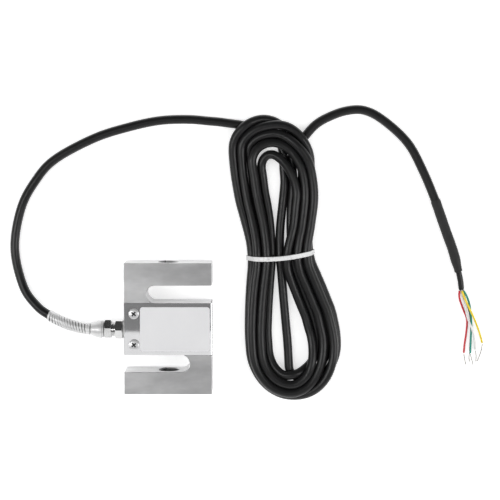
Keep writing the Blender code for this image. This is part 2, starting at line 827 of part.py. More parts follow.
def makeBoard(boardMaterial, leadMaterial, coreMaterial):
    """The terminal board on the bridge's floor, its leads to the gauges and the cable's cores."""
    boardY = -cavityBridge / 2 + clearance + boardThickness / 2
    size = (boardLength, boardThickness, boardDepth)
    boxShape("terminal_board", size, (0, boardY, bodyMiddle), boardMaterial)
    boardTop = boardY + boardThickness / 2 + clearance + gaugeLeadRadius
    boardEnd = boardLength / 2
    gaugeFace = cavityRadius - clearance - gaugeThickness - clearance - gaugeLeadRadius
    for number in (1, 2, 3, 4):
        side, level = gaugePlace(number)
        z = bodyMiddle + level * gaugeLeadSpread / 2
        endX = side * cavitySpacing / 2
        boardX = side * (boardEnd - gaugeLeadInset)
        sweep = gaugeLeadSweep if level > 0 else gaugeLeadSweep / 2
        route = [
            (boardX, boardTop, z),
            (boardX + side * gaugeLeadInset, boardTop + sweep, z),
            (endX - side * gaugeLeadInset / 2, level * (gaugeFace - sweep), z),
            (endX, level * gaugeFace, z),
        ]
        tubeShape(f"gauge_lead_{number}", route, gaugeLeadRadius, leadMaterial, gaugeLeadSpacing)
    coreHeight = boardTop + coreRadius - gaugeLeadRadius
    route = [
        (cableEndX + clearance, glandOffset, bodyMiddle),
        (cableEndX + coreStraight, glandOffset, bodyMiddle),
        (-boardEnd - coreRadius, coreHeight + coreRadius, bodyMiddle),
        (-boardEnd + coreRadius, coreHeight, bodyMiddle),
    ]
    tubeShape("core_bundle", route, coreRadius, coreMaterial, coreSpacing)


def makeCables(cableMaterial, sleeveMaterial, wireMaterials, tinned, tieMaterial):
    start = (cableEndX, glandOffset, bodyMiddle)
    end = (ferruleNoseX + 2 * clearance, glandOffset, bodyMiddle)
    rodShape("cable_gland_run", cableRadius, start, end, 16, cableMaterial)
    line = smoothRoute(leadRoute, routeStep)
    held = round((guardTurns * guardPitch + guardWireWidth) / routeStep) + 1
    tubeShape("cable_guard_run", line[: held + 1], cableRadius, cableMaterial, guardRunSpacing, 3)
    tubeShape("cable_lead", line[held + 2 :], cableRadius, cableMaterial, cableSpacing, 3)
    tubeShape("cable_tail", tailRoute, cableRadius, cableMaterial, cableSpacing, 3)
    tubeShape("heat_shrink_sleeve", sleeveRoute, sleeveRadius, sleeveMaterial, cableSpacing, 3)
    tubeShape("inner_sheath", sheathRoute, sheathRadius, cableMaterial, sheathSpacing)
    for colour, route in wireRoutes.items():
        tubeShape(f"wire_{colour}", route, wireRadius, wireMaterials[colour], wireSpacing)
        tubeShape(f"wire_tip_{colour}", tipRoutes[colour], strandRadius, tinned, tipSpacing)

    hank = plateShape("cable_hank", [smoothLoop(hankOutline, 3)], hankHeight, cableMaterial)
    hank.location.z = hankHeight / 2
    innerHeight = hankHeight - 2 * tieThickness
    bandOuter = roundedRectangle(tieInnerWidth + 2 * tieThickness, hankHeight, tieCorner + tieThickness)
    bandInner = roundedRectangle(tieInnerWidth, innerHeight, tieCorner)
    band = plateShape("hank_tie", [bandOuter, bandInner], tieWidth, tieMaterial)
    waistWidth, waistHeight = tieInnerWidth - 2 * clearance, innerHeight - 2 * clearance
    waist = roundedRectangle(waistWidth, waistHeight, tieCorner - clearance)
    around = roundedRectangle(2 * tieInnerWidth, 2 * hankHeight, tieCorner)
    groove = plateShape("tie_groove_cut", [around, waist], tieWidth + 2 * clearance)
    for ring in (band, groove):
        ring.rotation_euler = (math.pi / 2, 0, tieTurn)
        ring.location = (*tieCentre, hankHeight / 2)
    addBoolean(hank, groove)
    settle(hank)


for old in list(bpy.data.objects):
    bpy.data.objects.remove(old, do_unlink=True)
partCollection = bpy.data.collections.new("s_type_load_cell")
cutterCollection = bpy.data.collections.new("cutters")
for collection in (partCollection, cutterCollection):
    bpy.context.scene.collection.children.link(collection)

steel = makeMaterial("nickel_plated_steel", (0.42, 0.42, 0.43), 0.32, 1.0)
sheet = makeMaterial("bright_steel_sheet", (0.62, 0.62, 0.63), 0.12, 1.0)
screwSteel = makeMaterial("screw_steel", (0.7, 0.7, 0.7), 0.2, 1.0)
brass = makeMaterial("nickel_plated_brass", (0.6, 0.59, 0.56), 0.18, 1.0)
springSteel = makeMaterial("spring_steel", (0.7, 0.7, 0.7), 0.25, 1.0)
labelFilm = makeMaterial("label_film", (0.76, 0.76, 0.77), 0.5)
rubber = makeMaterial("seal_rubber", (0.03, 0.03, 0.03), 0.7)
fibre = makeMaterial("sealing_fibre", (0.6, 0.6, 0.58), 0.6)
jacket = makeMaterial("cable_jacket", (0.035, 0.035, 0.037), 0.5)
shrink = makeMaterial("heat_shrink", (0.03, 0.03, 0.032), 0.6)
nylon = makeMaterial("white_nylon", (0.85, 0.85, 0.85), 0.45)
foilFilm = makeMaterial("gauge_film", (0.55, 0.35, 0.08), 0.4)
boardResin = makeMaterial("board_resin", (0.03, 0.18, 0.07), 0.4)
enamel = makeMaterial("enamelled_copper", (0.45, 0.18, 0.06), 0.35, 0.8)
coreJacket = makeMaterial("core_bundle_film", (0.75, 0.75, 0.72), 0.4)
tinned = makeMaterial("tinned_copper", (0.75, 0.75, 0.73), 0.3, 1.0)
wireMaterials = {
    colour: makeMaterial(f"wire_insulation_{colour}", value, 0.4) for colour, value in wireColours.items()
}

makeBeam(steel)
makeCover(sheet)
makeScrews(screwSteel)
makeLabel(labelFilm)
makeGland(brass, rubber, fibre)
makeGuard(springSteel)
makeGauges(foilFilm)
makeBoard(boardResin, enamel, coreJacket)
makeCables(jacket, shrink, wireMaterials, tinned, nylon)
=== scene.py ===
import math

import bmesh
import bpy
import numpy as np
from mathutils import Matrix, Vector


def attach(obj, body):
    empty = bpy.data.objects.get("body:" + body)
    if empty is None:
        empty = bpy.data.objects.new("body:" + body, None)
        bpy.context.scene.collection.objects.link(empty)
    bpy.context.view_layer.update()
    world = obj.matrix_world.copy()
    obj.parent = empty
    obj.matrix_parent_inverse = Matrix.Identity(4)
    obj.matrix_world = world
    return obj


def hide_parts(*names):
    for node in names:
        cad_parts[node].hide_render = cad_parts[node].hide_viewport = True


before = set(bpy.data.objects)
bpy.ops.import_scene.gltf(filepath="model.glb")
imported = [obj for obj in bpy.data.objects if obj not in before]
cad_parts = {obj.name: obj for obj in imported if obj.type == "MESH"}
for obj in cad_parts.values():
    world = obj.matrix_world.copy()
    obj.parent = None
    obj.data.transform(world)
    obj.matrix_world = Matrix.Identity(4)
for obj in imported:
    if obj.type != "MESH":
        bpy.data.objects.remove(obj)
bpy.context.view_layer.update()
mm = 0.001
gap = 0.0003  # what touching pieces keep between them
cutReach = 4 * mm  # how far a cutter stands past what it cuts
shortReach = 1 * mm  # the same where there is less room
print("frame loaded")

# making meshes and pieces

meshRules = {
    "weld": 0.000002,  # points nearer than this become one
    "smoothAngle": 38,  # degrees past which an edge stays sharp
    "rimAngle": 40,  # degrees past which a plate's edge is rounded
    "flatWeight": 90,  # how far flat faces outweigh their rounded edges in the shading
}


def facesOut(bm):
    bmesh.ops.recalc_face_normals(bm, faces=bm.faces)
    if bm.calc_volume(signed=True) < 0:
        bmesh.ops.reverse_faces(bm, faces=bm.faces)


def shadeMesh(mesh, smoothAngle):
    mesh.shade_smooth()
    mesh.set_sharp_from_angle(angle=math.radians(smoothAngle))
    return mesh


def finishMesh(bm, name, smoothAngle=meshRules["smoothAngle"]):
    facesOut(bm)
    mesh = bpy.data.meshes.new(name)
    bm.to_mesh(mesh)
    bm.free()
    return shadeMesh(mesh, smoothAngle)


def freshMesh(mesh, name, smoothAngle=meshRules["smoothAngle"]):
    # a mesh after its booleans: doubles merged, faces out, smooth but for its edges
    bm = bmesh.new()
    bm.from_mesh(mesh)
    bmesh.ops.remove_doubles(bm, verts=bm.verts, dist=meshRules["weld"])
    bmesh.ops.dissolve_degenerate(bm, edges=bm.edges, dist=meshRules["weld"])
    facesOut(bm)
    bm.to_mesh(mesh)
    bm.free()
    mesh.name = name
    return shadeMesh(mesh, smoothAngle)


def addPiece(name, mesh, slot, nodes=(), evenShade=False, finish=None):
    # a piece attached to the root, with the finish its slot name gives unless another finish is named, and
    # the solids it replaces hidden
    piece = bpy.data.objects.new(name, mesh)
    bpy.context.scene.collection.objects.link(piece)
    mesh.materials.clear()
    mesh.materials.append(finishes[finish or slot])
    if evenShade:  # flat faces stay flat beside their rounded edges
        weighted = piece.modifiers.new("Even shade", "WEIGHTED_NORMAL")
        weighted.keep_sharp = True
        weighted.weight = meshRules["flatWeight"]
    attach(piece, "root")
    if nodes:
        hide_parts(*nodes)
    return piece


def dressNode(name, slot):
    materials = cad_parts[name].data.materials
    materials.clear()
    materials.append(finishes[slot])


def meshFromRings(rings, name, closed=False, capped=True, smoothAngle=meshRules["smoothAngle"]):
    # rings of equally many points, joined one to the next
    bm = bmesh.new()
    loops = [[bm.verts.new(p) for p in ring] for ring in rings]
    pairs = list(zip(loops, loops[1:])) + ([(loops[-1], loops[0])] if closed else [])
    for a, b in pairs:
        for i in range(len(a)):
            j = (i + 1) % len(a)
            bm.faces.new((a[i], a[j], b[j], b[i]))
    if capped and not closed:
        bm.faces.new(loops[0])
        bm.faces.new(loops[-1])
    return finishMesh(bm, name, smoothAngle)


def turnedRings(profile, segments, place):
    # profile of (distance along the axis, radius); place turns (along, across, up) into a point
    turns = [2 * math.pi * k / segments for k in range(segments)]
    return [[place(along, r * math.cos(a), r * math.sin(a)) for a in turns] for along, r in profile]


def boxMesh(low, high):
    bm = bmesh.new()
    bmesh.ops.create_cube(bm, size=1)
    size = [h - l for l, h in zip(low, high)]
    bmesh.ops.scale(bm, vec=size, verts=bm.verts)
    bmesh.ops.translate(bm, vec=[(l + h) / 2 for l, h in zip(low, high)], verts=bm.verts)
    return finishMesh(bm, "cutter")


def cutMesh(mesh, cutters, operation="DIFFERENCE"):
    # booleans of one mesh with several, each cutter used once
    base = bpy.data.objects.new("base", mesh)
    bpy.context.scene.collection.objects.link(base)
    tools = []
    for cutter in cutters:
        tool = bpy.data.objects.new("tool", cutter)
        bpy.context.scene.collection.objects.link(tool)
        step = base.modifiers.new("Cut", "BOOLEAN")
        step.operation = operation
        step.object = tool
        tools.append(tool)
    bpy.context.view_layer.update()
    result = bpy.data.meshes.new_from_object(base.evaluated_get(bpy.context.evaluated_depsgraph_get()))
    for old in [base, *tools]:
        bpy.data.objects.remove(old)
    return result


def arc(centreX, centreY, radius, start, end, steps):
    angles = [math.radians(start + (end - start) * k / steps) for k in range(steps + 1)]
    return [(centreX + radius * math.cos(a), centreY + radius * math.sin(a)) for a in angles]


def plateMesh(outline, low, high, edge=0.0, segments=2, name="plate"):
    # an outline given height, with its rims rounded by edge
    bm = bmesh.new()
    bottom = [bm.verts.new((x, y, low)) for x, y in outline]
    face = bm.faces.new(bottom)
    pulled = bmesh.ops.extrude_face_region(bm, geom=[face])
    top = [item for item in pulled["geom"] if isinstance(item, bmesh.types.BMVert)]
    bmesh.ops.translate(bm, vec=(0, 0, high - low), verts=top)
    facesOut(bm)
    if edge:
        sharp = [e for e in bm.edges if e.calc_face_angle(0) > math.radians(meshRules["rimAngle"])]
        bmesh.ops.bevel(bm, geom=sharp, offset=edge, segments=segments, profile=0.5, affect="EDGES")
    return finishMesh(bm, name)


# routes: smooth lines through a few points


def smoothRoute(points, spacing, detail=24):
    # the same curve through the points as the solid's, read at even steps
    p = np.array(points, float)
    p = np.vstack([2 * p[0] - p[1], p, 2 * p[-1] - p[-2]])
    t = (np.arange(detail) / detail)[:, None]
    spans = zip(p, p[1:], p[2:], p[3:])
    parts = [
        b + 0.5 * ((c - a) * t + (2 * a - 5 * b + 4 * c - d) * t**2 + (3 * b - a - 3 * c + d) * t**3)
        for a, b, c, d in spans
    ]
    return evenSteps(np.vstack([*parts, p[-2:-1]]), spacing)


def evenSteps(line, spacing):
    along = np.concatenate([[0], np.cumsum(np.linalg.norm(np.diff(line, axis=0), axis=1))])
    count = max(2, round(along[-1] / spacing))
    read = np.linspace(0, along[-1], count + 1)
    return np.stack([np.interp(read, along, line[:, k]) for k in range(3)], 1)


def curveObject(points):
    curve = bpy.data.curves.new("route", "CURVE")
    curve.dimensions = "3D"
    spline = curve.splines.new("POLY")
    spline.points.add(len(points) - 1)
    spline.points.foreach_set("co", np.column_stack([points, np.ones(len(points))]).ravel())
    thing = bpy.data.objects.new("route", curve)
    bpy.context.scene.collection.objects.link(thing)
    return thing


# geometry node trees


def newTree(name, inputs):
    tree = bpy.data.node_groups.new(name, "GeometryNodeTree")
    for label, kind, value in inputs:
        socket = tree.interface.new_socket(label, in_out="INPUT", socket_type=f"NodeSocket{kind}")
        if value is not None:
            socket.default_value = value
    tree.interface.new_socket("Geometry", in_out="OUTPUT", socket_type="NodeSocketGeometry")
    return tree, tree.nodes.new("NodeGroupInput"), tree.nodes.new("NodeGroupOutput")


def addNode(tree, kind, values=None, **settings):
    # a node with its settings, and its sockets set to a value or joined to another socket
    node = tree.nodes.new(kind)
    for key, value in settings.items():
        setattr(node, key, value)
    for key, value in (values or {}).items():
        if isinstance(value, bpy.types.NodeSocket):
            tree.links.new(value, node.inputs[key])
        else:
            node.inputs[key].default_value = value
    return node


def endTree(tree, ends, geometry, material):
    real = addNode(tree, "GeometryNodeRealizeInstances", {"Geometry": geometry})
    painted = addNode(tree, "GeometryNodeSetMaterial", {"Geometry": real.outputs[0], "Material": material})
    tree.links.new(painted.outputs[0], ends.inputs[0])


def runTree(tree, values, source=None):
    # puts the tree on the source, or on an empty mesh, and keeps what comes out as a plain mesh
    if source is None:
        source = bpy.data.objects.new("seed", bpy.data.meshes.new("seed"))
        bpy.context.scene.collection.objects.link(source)
    step = source.modifiers.new("Make", "NODES")
    step.node_group = tree
    for item in tree.interface.items_tree:
        if item.item_type == "SOCKET" and item.in_out == "INPUT" and item.name in values:
            step[item.identifier] = values[item.name]
    bpy.context.view_layer.update()
    mesh = bpy.data.meshes.new_from_object(source.evaluated_get(bpy.context.evaluated_depsgraph_get()))
    bpy.data.objects.remove(source)
    bm = bmesh.new()
    bm.from_mesh(mesh)
    return finishMesh(bm, tree.name)


def makeSweepTree():
    # a round tube along the source curve, with its ends closed
    inputs = [("Geometry", "Geometry", None), ("Radius", "Float", 0.001), ("Sides", "Int", 16)]
    tree, start, ends = newTree("sweepAlongRoute", inputs + [("Material", "Material", None)])
    ring = {"Resolution": start.outputs["Sides"], "Radius": start.outputs["Radius"]}
    circle = addNode(tree, "GeometryNodeCurvePrimitiveCircle", ring, mode="RADIUS")
    swept = {"Curve": start.outputs["Geometry"], "Profile Curve": circle.outputs["Curve"], "Fill Caps": True}
    tube = addNode(tree, "GeometryNodeCurveToMesh", swept)
    endTree(tree, ends, tube.outputs[0], start.outputs["Material"])
    return tree


# materials


def newGroup(name, inputs, outputs):
    group = bpy.data.node_groups.new(name, "ShaderNodeTree")
    for label, kind, value in inputs:
        socket = group.interface.new_socket(label, in_out="INPUT", socket_type=f"NodeSocket{kind}")
        if value is not None:
            socket.default_value = value
    for label, kind in outputs:
        group.interface.new_socket(label, in_out="OUTPUT", socket_type=f"NodeSocket{kind}")
    return group, group.nodes.new("NodeGroupInput"), group.nodes.new("NodeGroupOutput")


def makeBlotches():
    # cloudy patches of noise, as a value between Low and High
    inputs = [("Vector", "Vector", None), ("Scale", "Float", 100.0)]
    inputs += [("Low", "Float", 0.0), ("High", "Float", 1.0)]
    group, start, ends = newGroup("blotches", inputs, [("Value", "Float")])
    out = start.outputs
    broad = {"Vector": out["Vector"], "Scale": out["Scale"], "Detail": 4.0, "Roughness": 0.6}
    noise = addNode(group, "ShaderNodeTexNoise", broad)
    span = {"Value": noise.outputs["Fac"], "From Min": 0.32, "From Max": 0.68}
    span |= {"To Min": out["Low"], "To Max": out["High"]}
    spread = addNode(group, "ShaderNodeMapRange", span)
    group.links.new(spread.outputs[0], ends.inputs[0])
    return group


def makeGrain():
    # fine scratches or drawing lines: noise scaled by Stretch along each direction
    inputs = [("Vector", "Vector", None), ("Stretch", "Vector", (1.0, 1.0, 1.0)), ("Scale", "Float", 1000.0)]
    group, start, ends = newGroup("grainLines", inputs, [("Value", "Float")])
    out = start.outputs
    stretch = {0: out["Vector"], 1: out["Stretch"]}
    stretched = addNode(group, "ShaderNodeVectorMath", stretch, operation="MULTIPLY")
    fine = {"Vector": stretched.outputs[0], "Scale": out["Scale"], "Detail": 3.0, "Roughness": 0.65}
    noise = addNode(group, "ShaderNodeTexNoise", fine)
    group.links.new(noise.outputs["Fac"], ends.inputs[0])
    return group


blotches = makeBlotches()
grainLines = makeGrain()


def makeFinish(name, look):
    # one procedural finish: two colours in patches, a roughness that varies, and a fine bump
    look = {**plainLook, "second": look["colour"], **look}
    low, high = look["roughness"]
    material = bpy.data.materials.new(name)
    material.use_nodes = True
    tree = material.node_tree
    shader = tree.nodes["Principled BSDF"]
    place = tree.nodes.new("ShaderNodeTexCoord").outputs["Object"]
    drawn = {0: place, 1: look["patchStretch"], 2: look["patchShift"]}
    streaked = addNode(tree, "ShaderNodeVectorMath", drawn, operation="MULTIPLY_ADD")
    patches = {"Vector": streaked.outputs[0], "Scale": look["patchScale"]}
    patch = addNode(tree, "ShaderNodeGroup", patches, node_tree=blotches)
    wear = {"Vector": place, "Scale": look["roughScale"], "Low": low, "High": high}
    rough = addNode(tree, "ShaderNodeGroup", wear, node_tree=blotches)
    grain = {"Vector": place, "Stretch": look["stretch"], "Scale": look["grainScale"]}
    lines = addNode(tree, "ShaderNodeGroup", grain, node_tree=grainLines)
    colours = {"Factor": patch.outputs[0], "A": (*look["colour"], 1), "B": (*look["second"], 1)}
    colour = addNode(tree, "ShaderNodeMix", colours, data_type="RGBA").outputs["Result"]
    if "paintedShade" in look:  # painted shade: recesses marked on the mesh are darkened
        mark = addNode(tree, "ShaderNodeAttribute", attribute_name="recess")
        shadedMix = {"Factor": mark.outputs["Fac"], "A": colour, "B": (*look["paintedShade"], 1)}
        colour = addNode(tree, "ShaderNodeMix", shadedMix, data_type="RGBA").outputs["Result"]
    relief = {"Height": lines.outputs[0], "Strength": look["bump"], "Distance": look["bumpHeight"]}
    bump = addNode(tree, "ShaderNodeBump", relief)
    tree.links.new(colour, shader.inputs["Base Color"])
    tree.links.new(rough.outputs[0], shader.inputs["Roughness"])
    tree.links.new(bump.outputs[0], shader.inputs["Normal"])
    shader.inputs["Metallic"].default_value = look["metallic"]
    shader.inputs["Specular IOR Level"].default_value = look["specular"]
    return material


# what a finish has where it doesn't say otherwise; the second colour is then the first
plainLook = dict(
    patchScale=120.0, patchStretch=(1.0, 1.0, 1.0), patchShift=(0.0, 0.0, 0.0), roughScale=300.0,
    stretch=(1.0, 1.0, 1.0), grainScale=1500.0, bump=0.15, bumpHeight=0.00002, metallic=0.0, specular=0.5,
)
wireFilm = dict(roughness=(0.28, 0.4), bump=0.08)
looks = {
    # partly painted reflection: the beam's two tones lie in broad patches whose pattern is shifted so that
    # the upper arm comes out darker and the lower arm lighter, as the reflections fall; the rest is the
    # steel's own uneven tone
    "beam_steel": dict(
        colour=(0.49, 0.49, 0.495), second=(0.78, 0.78, 0.785), patchScale=48.0,
        patchStretch=(0.45, 1.0, 1.0), patchShift=(0.0, 0.0, 0.1), roughness=(0.28, 0.36),
        roughScale=200.0, metallic=0.85, stretch=(0.08, 1.0, 1.0), grainScale=1800.0, bump=0.05,
    ),
    # painted shade: the thread is a dark steel to stand for the shade deep inside the bore
    "shaded_thread_steel": dict(
        colour=(0.16, 0.16, 0.165), second=(0.2, 0.2, 0.205), roughness=(0.4, 0.5), metallic=0.7, bump=0.05,
    ),
    "cover_sheet": dict(
        colour=(0.7, 0.7, 0.71), second=(0.76, 0.76, 0.77), patchScale=60.0, roughness=(0.015, 0.03),
        metallic=0.8, stretch=(0.06, 1.0, 1.0), grainScale=2400.0, bump=0.03,
    ),
    # painted shade: the screws' cross recesses are darkened to stand for the shade in them
    "screw_steel": dict(
        colour=(0.82, 0.82, 0.83), second=(0.88, 0.88, 0.88), roughness=(0.26, 0.36), metallic=0.6,
        grainScale=2000.0, bump=0.08, paintedShade=(0.06, 0.06, 0.06),
    ),
    "label_film": dict(
        colour=(0.85, 0.85, 0.865), second=(0.89, 0.89, 0.9), patchScale=40.0, roughness=(0.38, 0.5),
        metallic=0.2, stretch=(0.15, 1.0, 1.0), grainScale=3000.0, bump=0.1,
    ),
    "gland_metal": dict(
        colour=(0.7, 0.7, 0.7), second=(0.8, 0.8, 0.8), roughness=(0.1, 0.18), metallic=1.0,
        grainScale=1800.0, bump=0.05,
    ),
    "ferrule_metal": dict(
        colour=(0.78, 0.78, 0.78), second=(0.86, 0.86, 0.86), roughness=(0.38, 0.5), metallic=0.5,
        grainScale=1800.0, bump=0.08,
    ),
    "washer_fibre": dict(colour=(0.5, 0.5, 0.49), roughness=(0.6, 0.75), bump=0.2),
    "seal_rubber": dict(colour=(0.03, 0.03, 0.03), roughness=(0.55, 0.7), bump=0.15),
    "spring_steel": dict(
        colour=(0.76, 0.76, 0.765), second=(0.88, 0.88, 0.88), roughness=(0.36, 0.5), metallic=0.45,
        grainScale=2500.0, bump=0.1,
    ),
    "gauge_film": dict(colour=(0.55, 0.35, 0.08), roughness=(0.25, 0.35), bump=0.05),
    "board_resin": dict(colour=(0.03, 0.18, 0.07), roughness=(0.3, 0.4), bump=0.05),
    "lead_copper": dict(colour=(0.45, 0.18, 0.06), roughness=(0.25, 0.35), metallic=1.0, bump=0.05),
    "core_film": dict(colour=(0.75, 0.75, 0.72), roughness=(0.5, 0.6), bump=0.1),
    "cable_jacket": dict(
        colour=(0.0085, 0.0085, 0.009), second=(0.012, 0.012, 0.0125), patchScale=90.0,
        roughness=(0.29, 0.37), roughScale=500.0, grainScale=1800.0, bump=0.05, specular=0.4,
    ),
    "tie_nylon": dict(colour=(0.86, 0.86, 0.86), second=(0.9, 0.9, 0.9), roughness=(0.4, 0.5), bump=0.08),
    "heat_shrink": dict(
        colour=(0.016, 0.016, 0.0165), second=(0.022, 0.022, 0.022), roughness=(0.5, 0.62),
        grainScale=1500.0, bump=0.3, specular=0.4,
    ),
    "insulation_red": dict(wireFilm, colour=(0.6, 0.015, 0.03), second=(0.68, 0.03, 0.045)),
    "insulation_yellow": dict(wireFilm, colour=(0.94, 0.68, 0.02), second=(0.98, 0.76, 0.04)),
    "insulation_green": dict(wireFilm, colour=(0.01, 0.27, 0.2), second=(0.02, 0.33, 0.25)),
    "insulation_white": dict(wireFilm, colour=(0.88, 0.88, 0.87), second=(0.92, 0.92, 0.91)),
    "insulation_black": dict(wireFilm, colour=(0.018, 0.018, 0.018), roughness=(0.3, 0.42)),
    "tinned_copper": dict(
        colour=(0.68, 0.66, 0.62), second=(0.78, 0.77, 0.74), roughness=(0.22, 0.34), metallic=1.0,
    ),
}
finishes = {name: makeFinish(name, look) for name, look in looks.items()}
print("materials made")

# camera, floor and light

stageSizes = {
    "camera": (0.04728, 0.115606, 0.8),
    "cameraTurn": (-0.0895, 0.0, 0.0),
    "lens": 98.3,
    "filmWidth": 36,
    "clip": (0.01, 30),
    "floorSize": 6.0,
    "floorDrop": 0.05 * mm,  # keeps the floor clear of what lies on it
    "floorColour": (0.9, 0.9, 0.9, 1.0),
    "floorRoughness": 0.9,
    "floorGlow": 0.52,
    "worldStrength": 0.55,
    "lampAim": (0.03, 0.03, 0.0),
    # place, size and power
    "lamps": {
        "left": ((-0.8, 0.0, 1.2), (0.16, 1.2), 5.5),
        "right": ((1.05, -0.1, 0.95), (0.3, 1.1), 5.0),
    },
    "screenRadius": 1.8,
    "screenHalfWidth": 84,  # degrees to each side
    "screenRows": 24,
    "screenColumns": 48,
    # grey screens that only mirrors see: degrees from overhead towards +Y, and how bright at each end
    "screens": {"far": (-8.45, 86.0, 0.13, 0.05), "near": (-42.0, -12.0, 0.22, 0.22)},
}


def makeCamera():
    data = bpy.data.cameras.new("camera")
    data.lens = stageSizes["lens"]
    data.sensor_width = stageSizes["filmWidth"]
    data.clip_start, data.clip_end = stageSizes["clip"]
    camera = bpy.data.objects.new("camera", data)
    camera.location = stageSizes["camera"]
    camera.rotation_euler = stageSizes["cameraTurn"]
    bpy.context.scene.collection.objects.link(camera)
    bpy.context.scene.camera = camera


def seenRays(tree):
    # the kinds of ray, and 1 for those that come from the camera or off a mirror
    rays = tree.nodes.new("ShaderNodeLightPath").outputs
    both = addNode(tree, "ShaderNodeMath", {0: rays["Is Camera Ray"], 1: rays["Is Glossy Ray"]})
    return rays, both.outputs[0]


def makeFloor():
    bm = bmesh.new()
    bmesh.ops.create_grid(bm, x_segments=1, y_segments=1, size=stageSizes["floorSize"] / 2)
    mesh = bpy.data.meshes.new("floor")
    bm.to_mesh(mesh)
    bm.free()
    floor = bpy.data.objects.new("floor", mesh)
    floor.location.z = -stageSizes["floorDrop"]
    bpy.context.scene.collection.objects.link(floor)
    material = bpy.data.materials.new("floor_paper")
    material.use_nodes = True
    tree = material.node_tree
    shader = tree.nodes["Principled BSDF"]
    shader.inputs["Base Color"].default_value = stageSizes["floorColour"]
    shader.inputs["Roughness"].default_value = stageSizes["floorRoughness"]
    shader.inputs["Emission Color"].default_value = (1, 1, 1, 1)
    seen = {0: seenRays(tree)[1], 1: stageSizes["floorGlow"]}
    glow = addNode(tree, "ShaderNodeMath", seen, operation="MULTIPLY")
    tree.links.new(glow.outputs[0], shader.inputs["Emission Strength"])
    mesh.materials.append(material)


def makeWorld():
    world = bpy.data.worlds.new("studio")
    bpy.context.scene.world = world
    world.use_nodes = True
    tree = world.node_tree
    back = tree.nodes["Background"]
    back.inputs["Color"].default_value = (1, 1, 1, 1)
    rays, both = seenRays(tree)
    clear = {0: both, 1: rays["Is Transmission Ray"]}
    seen = addNode(tree, "ShaderNodeMath", clear, operation="MAXIMUM")
    span = {"Value": seen.outputs[0], "To Min": stageSizes["worldStrength"], "To Max": 1.0}
    level = addNode(tree, "ShaderNodeMapRange", span)
    tree.links.new(level.outputs[0], back.inputs["Strength"])


def makeLamp(name, place, size, power):
    data = bpy.data.lights.new(name, "AREA")
    data.shape = "RECTANGLE"
    data.size, data.size_y = size
    data.energy = power
    lamp = bpy.data.objects.new(name, data)
    lamp.location = place
    aim = Vector(stageSizes["lampAim"]) - Vector(place)
    lamp.rotation_euler = aim.to_track_quat("-Z", "Y").to_euler()
    bpy.context.scene.collection.objects.link(lamp)


def screenMesh(name, low, high):
    # part of a sphere round the stage, between two slices across Y
    radius, wide = stageSizes["screenRadius"], stageSizes["screenHalfWidth"]
    count, columns = stageSizes["screenRows"], stageSizes["screenColumns"]
    turns = [math.radians(-wide + 2 * wide * k / columns) for k in range(columns + 1)]
    bm = bmesh.new()
    rows = []
    for k in range(count + 1):
        slant = math.radians(low + (high - low) * k / count)
        y, around = radius * math.sin(slant), radius * math.cos(slant)
        rows.append([bm.verts.new((around * math.sin(a), y, around * math.cos(a))) for a in turns])
    for a, b in zip(rows, rows[1:]):
        for k in range(columns):
            bm.faces.new((a[k], a[k + 1], b[k + 1], b[k]))
    mesh = bpy.data.meshes.new(name)
    bm.to_mesh(mesh)
    bm.free()
    return mesh


def makeScreen(name, low, high, lowLevel, highLevel):
    mesh = screenMesh(name, low, high)
    screen = bpy.data.objects.new(name, mesh)
    bpy.context.scene.collection.objects.link(screen)
    screen.visible_camera = screen.visible_diffuse = screen.visible_shadow = False
    screen.visible_transmission = screen.visible_volume_scatter = False
    material = bpy.data.materials.new(name)
    material.use_nodes = True
    tree = material.node_tree
    tree.nodes.clear()
    place = tree.nodes.new("ShaderNodeTexCoord").outputs["Object"]
    axes = addNode(tree, "ShaderNodeSeparateXYZ", {0: place})
    lowY, highY = (stageSizes["screenRadius"] * math.sin(math.radians(end)) for end in (low, high))
    span = {"Value": axes.outputs["Y"], "From Min": lowY, "From Max": highY}
    span |= {"To Min": lowLevel, "To Max": highLevel}
    level = addNode(tree, "ShaderNodeMapRange", span)
    glow = addNode(tree, "ShaderNodeEmission", {"Strength": level.outputs[0]})
    end = tree.nodes.new("ShaderNodeOutputMaterial")
    tree.links.new(glow.outputs[0], end.inputs["Surface"])
    mesh.materials.append(material)


makeCamera()
makeFloor()
makeWorld()
for screenName, screenSpan in stageSizes["screens"].items():
    makeScreen(f"screen_{screenName}", *screenSpan)
for lampName, lampValues in stageSizes["lamps"].items():
    makeLamp(lampName, *lampValues)
bpy.context.scene.view_settings.view_transform = "Standard"
print("camera, floor and light made")

# the cable: one tube for the lead, the hank and the tail

cable = {
    "radius": 2.6 * mm,
    "floor": 2.65 * mm,  # how high its middle lies on the floor
    "sides": 20,
    "ringStep": 1.4 * mm,
}
glandAxis = (-1.4 * mm, 11.725 * mm)  # y and z
noseX = -45.3 * mm  # the ferrule's end, where the cable comes out
bodyMiddle = glandAxis[1]
floorZ = cable["floor"]
sleeveZ = 2.95 * mm
leadRoute = [
    (noseX - gap, glandAxis[0], bodyMiddle),
    (noseX - 0.0062, glandAxis[0] + 0.0008, bodyMiddle - 0.0001),
    (-0.0577, 0.0010, bodyMiddle - 0.0005),
    (-0.0636, 0.0033, bodyMiddle - 0.0012),
    (-0.0699, 0.0064, bodyMiddle - 0.0025),
    (-0.0774, 0.0115, 0.0067),
    (-0.0858, 0.0228, 0.0036),
    (-0.0906, 0.0452, floorZ),
    (-0.0865, 0.0687, floorZ),
    (-0.0776, 0.0851, floorZ),
    (-0.0661, 0.0973, floorZ),
    (-0.0431, 0.1095, floorZ),
    (-0.0225, 0.1160, floorZ),
    (-0.0050, 0.1196, floorZ),
    (0.0124, 0.1202, floorZ),
    (0.0269, 0.1188, floorZ),
]
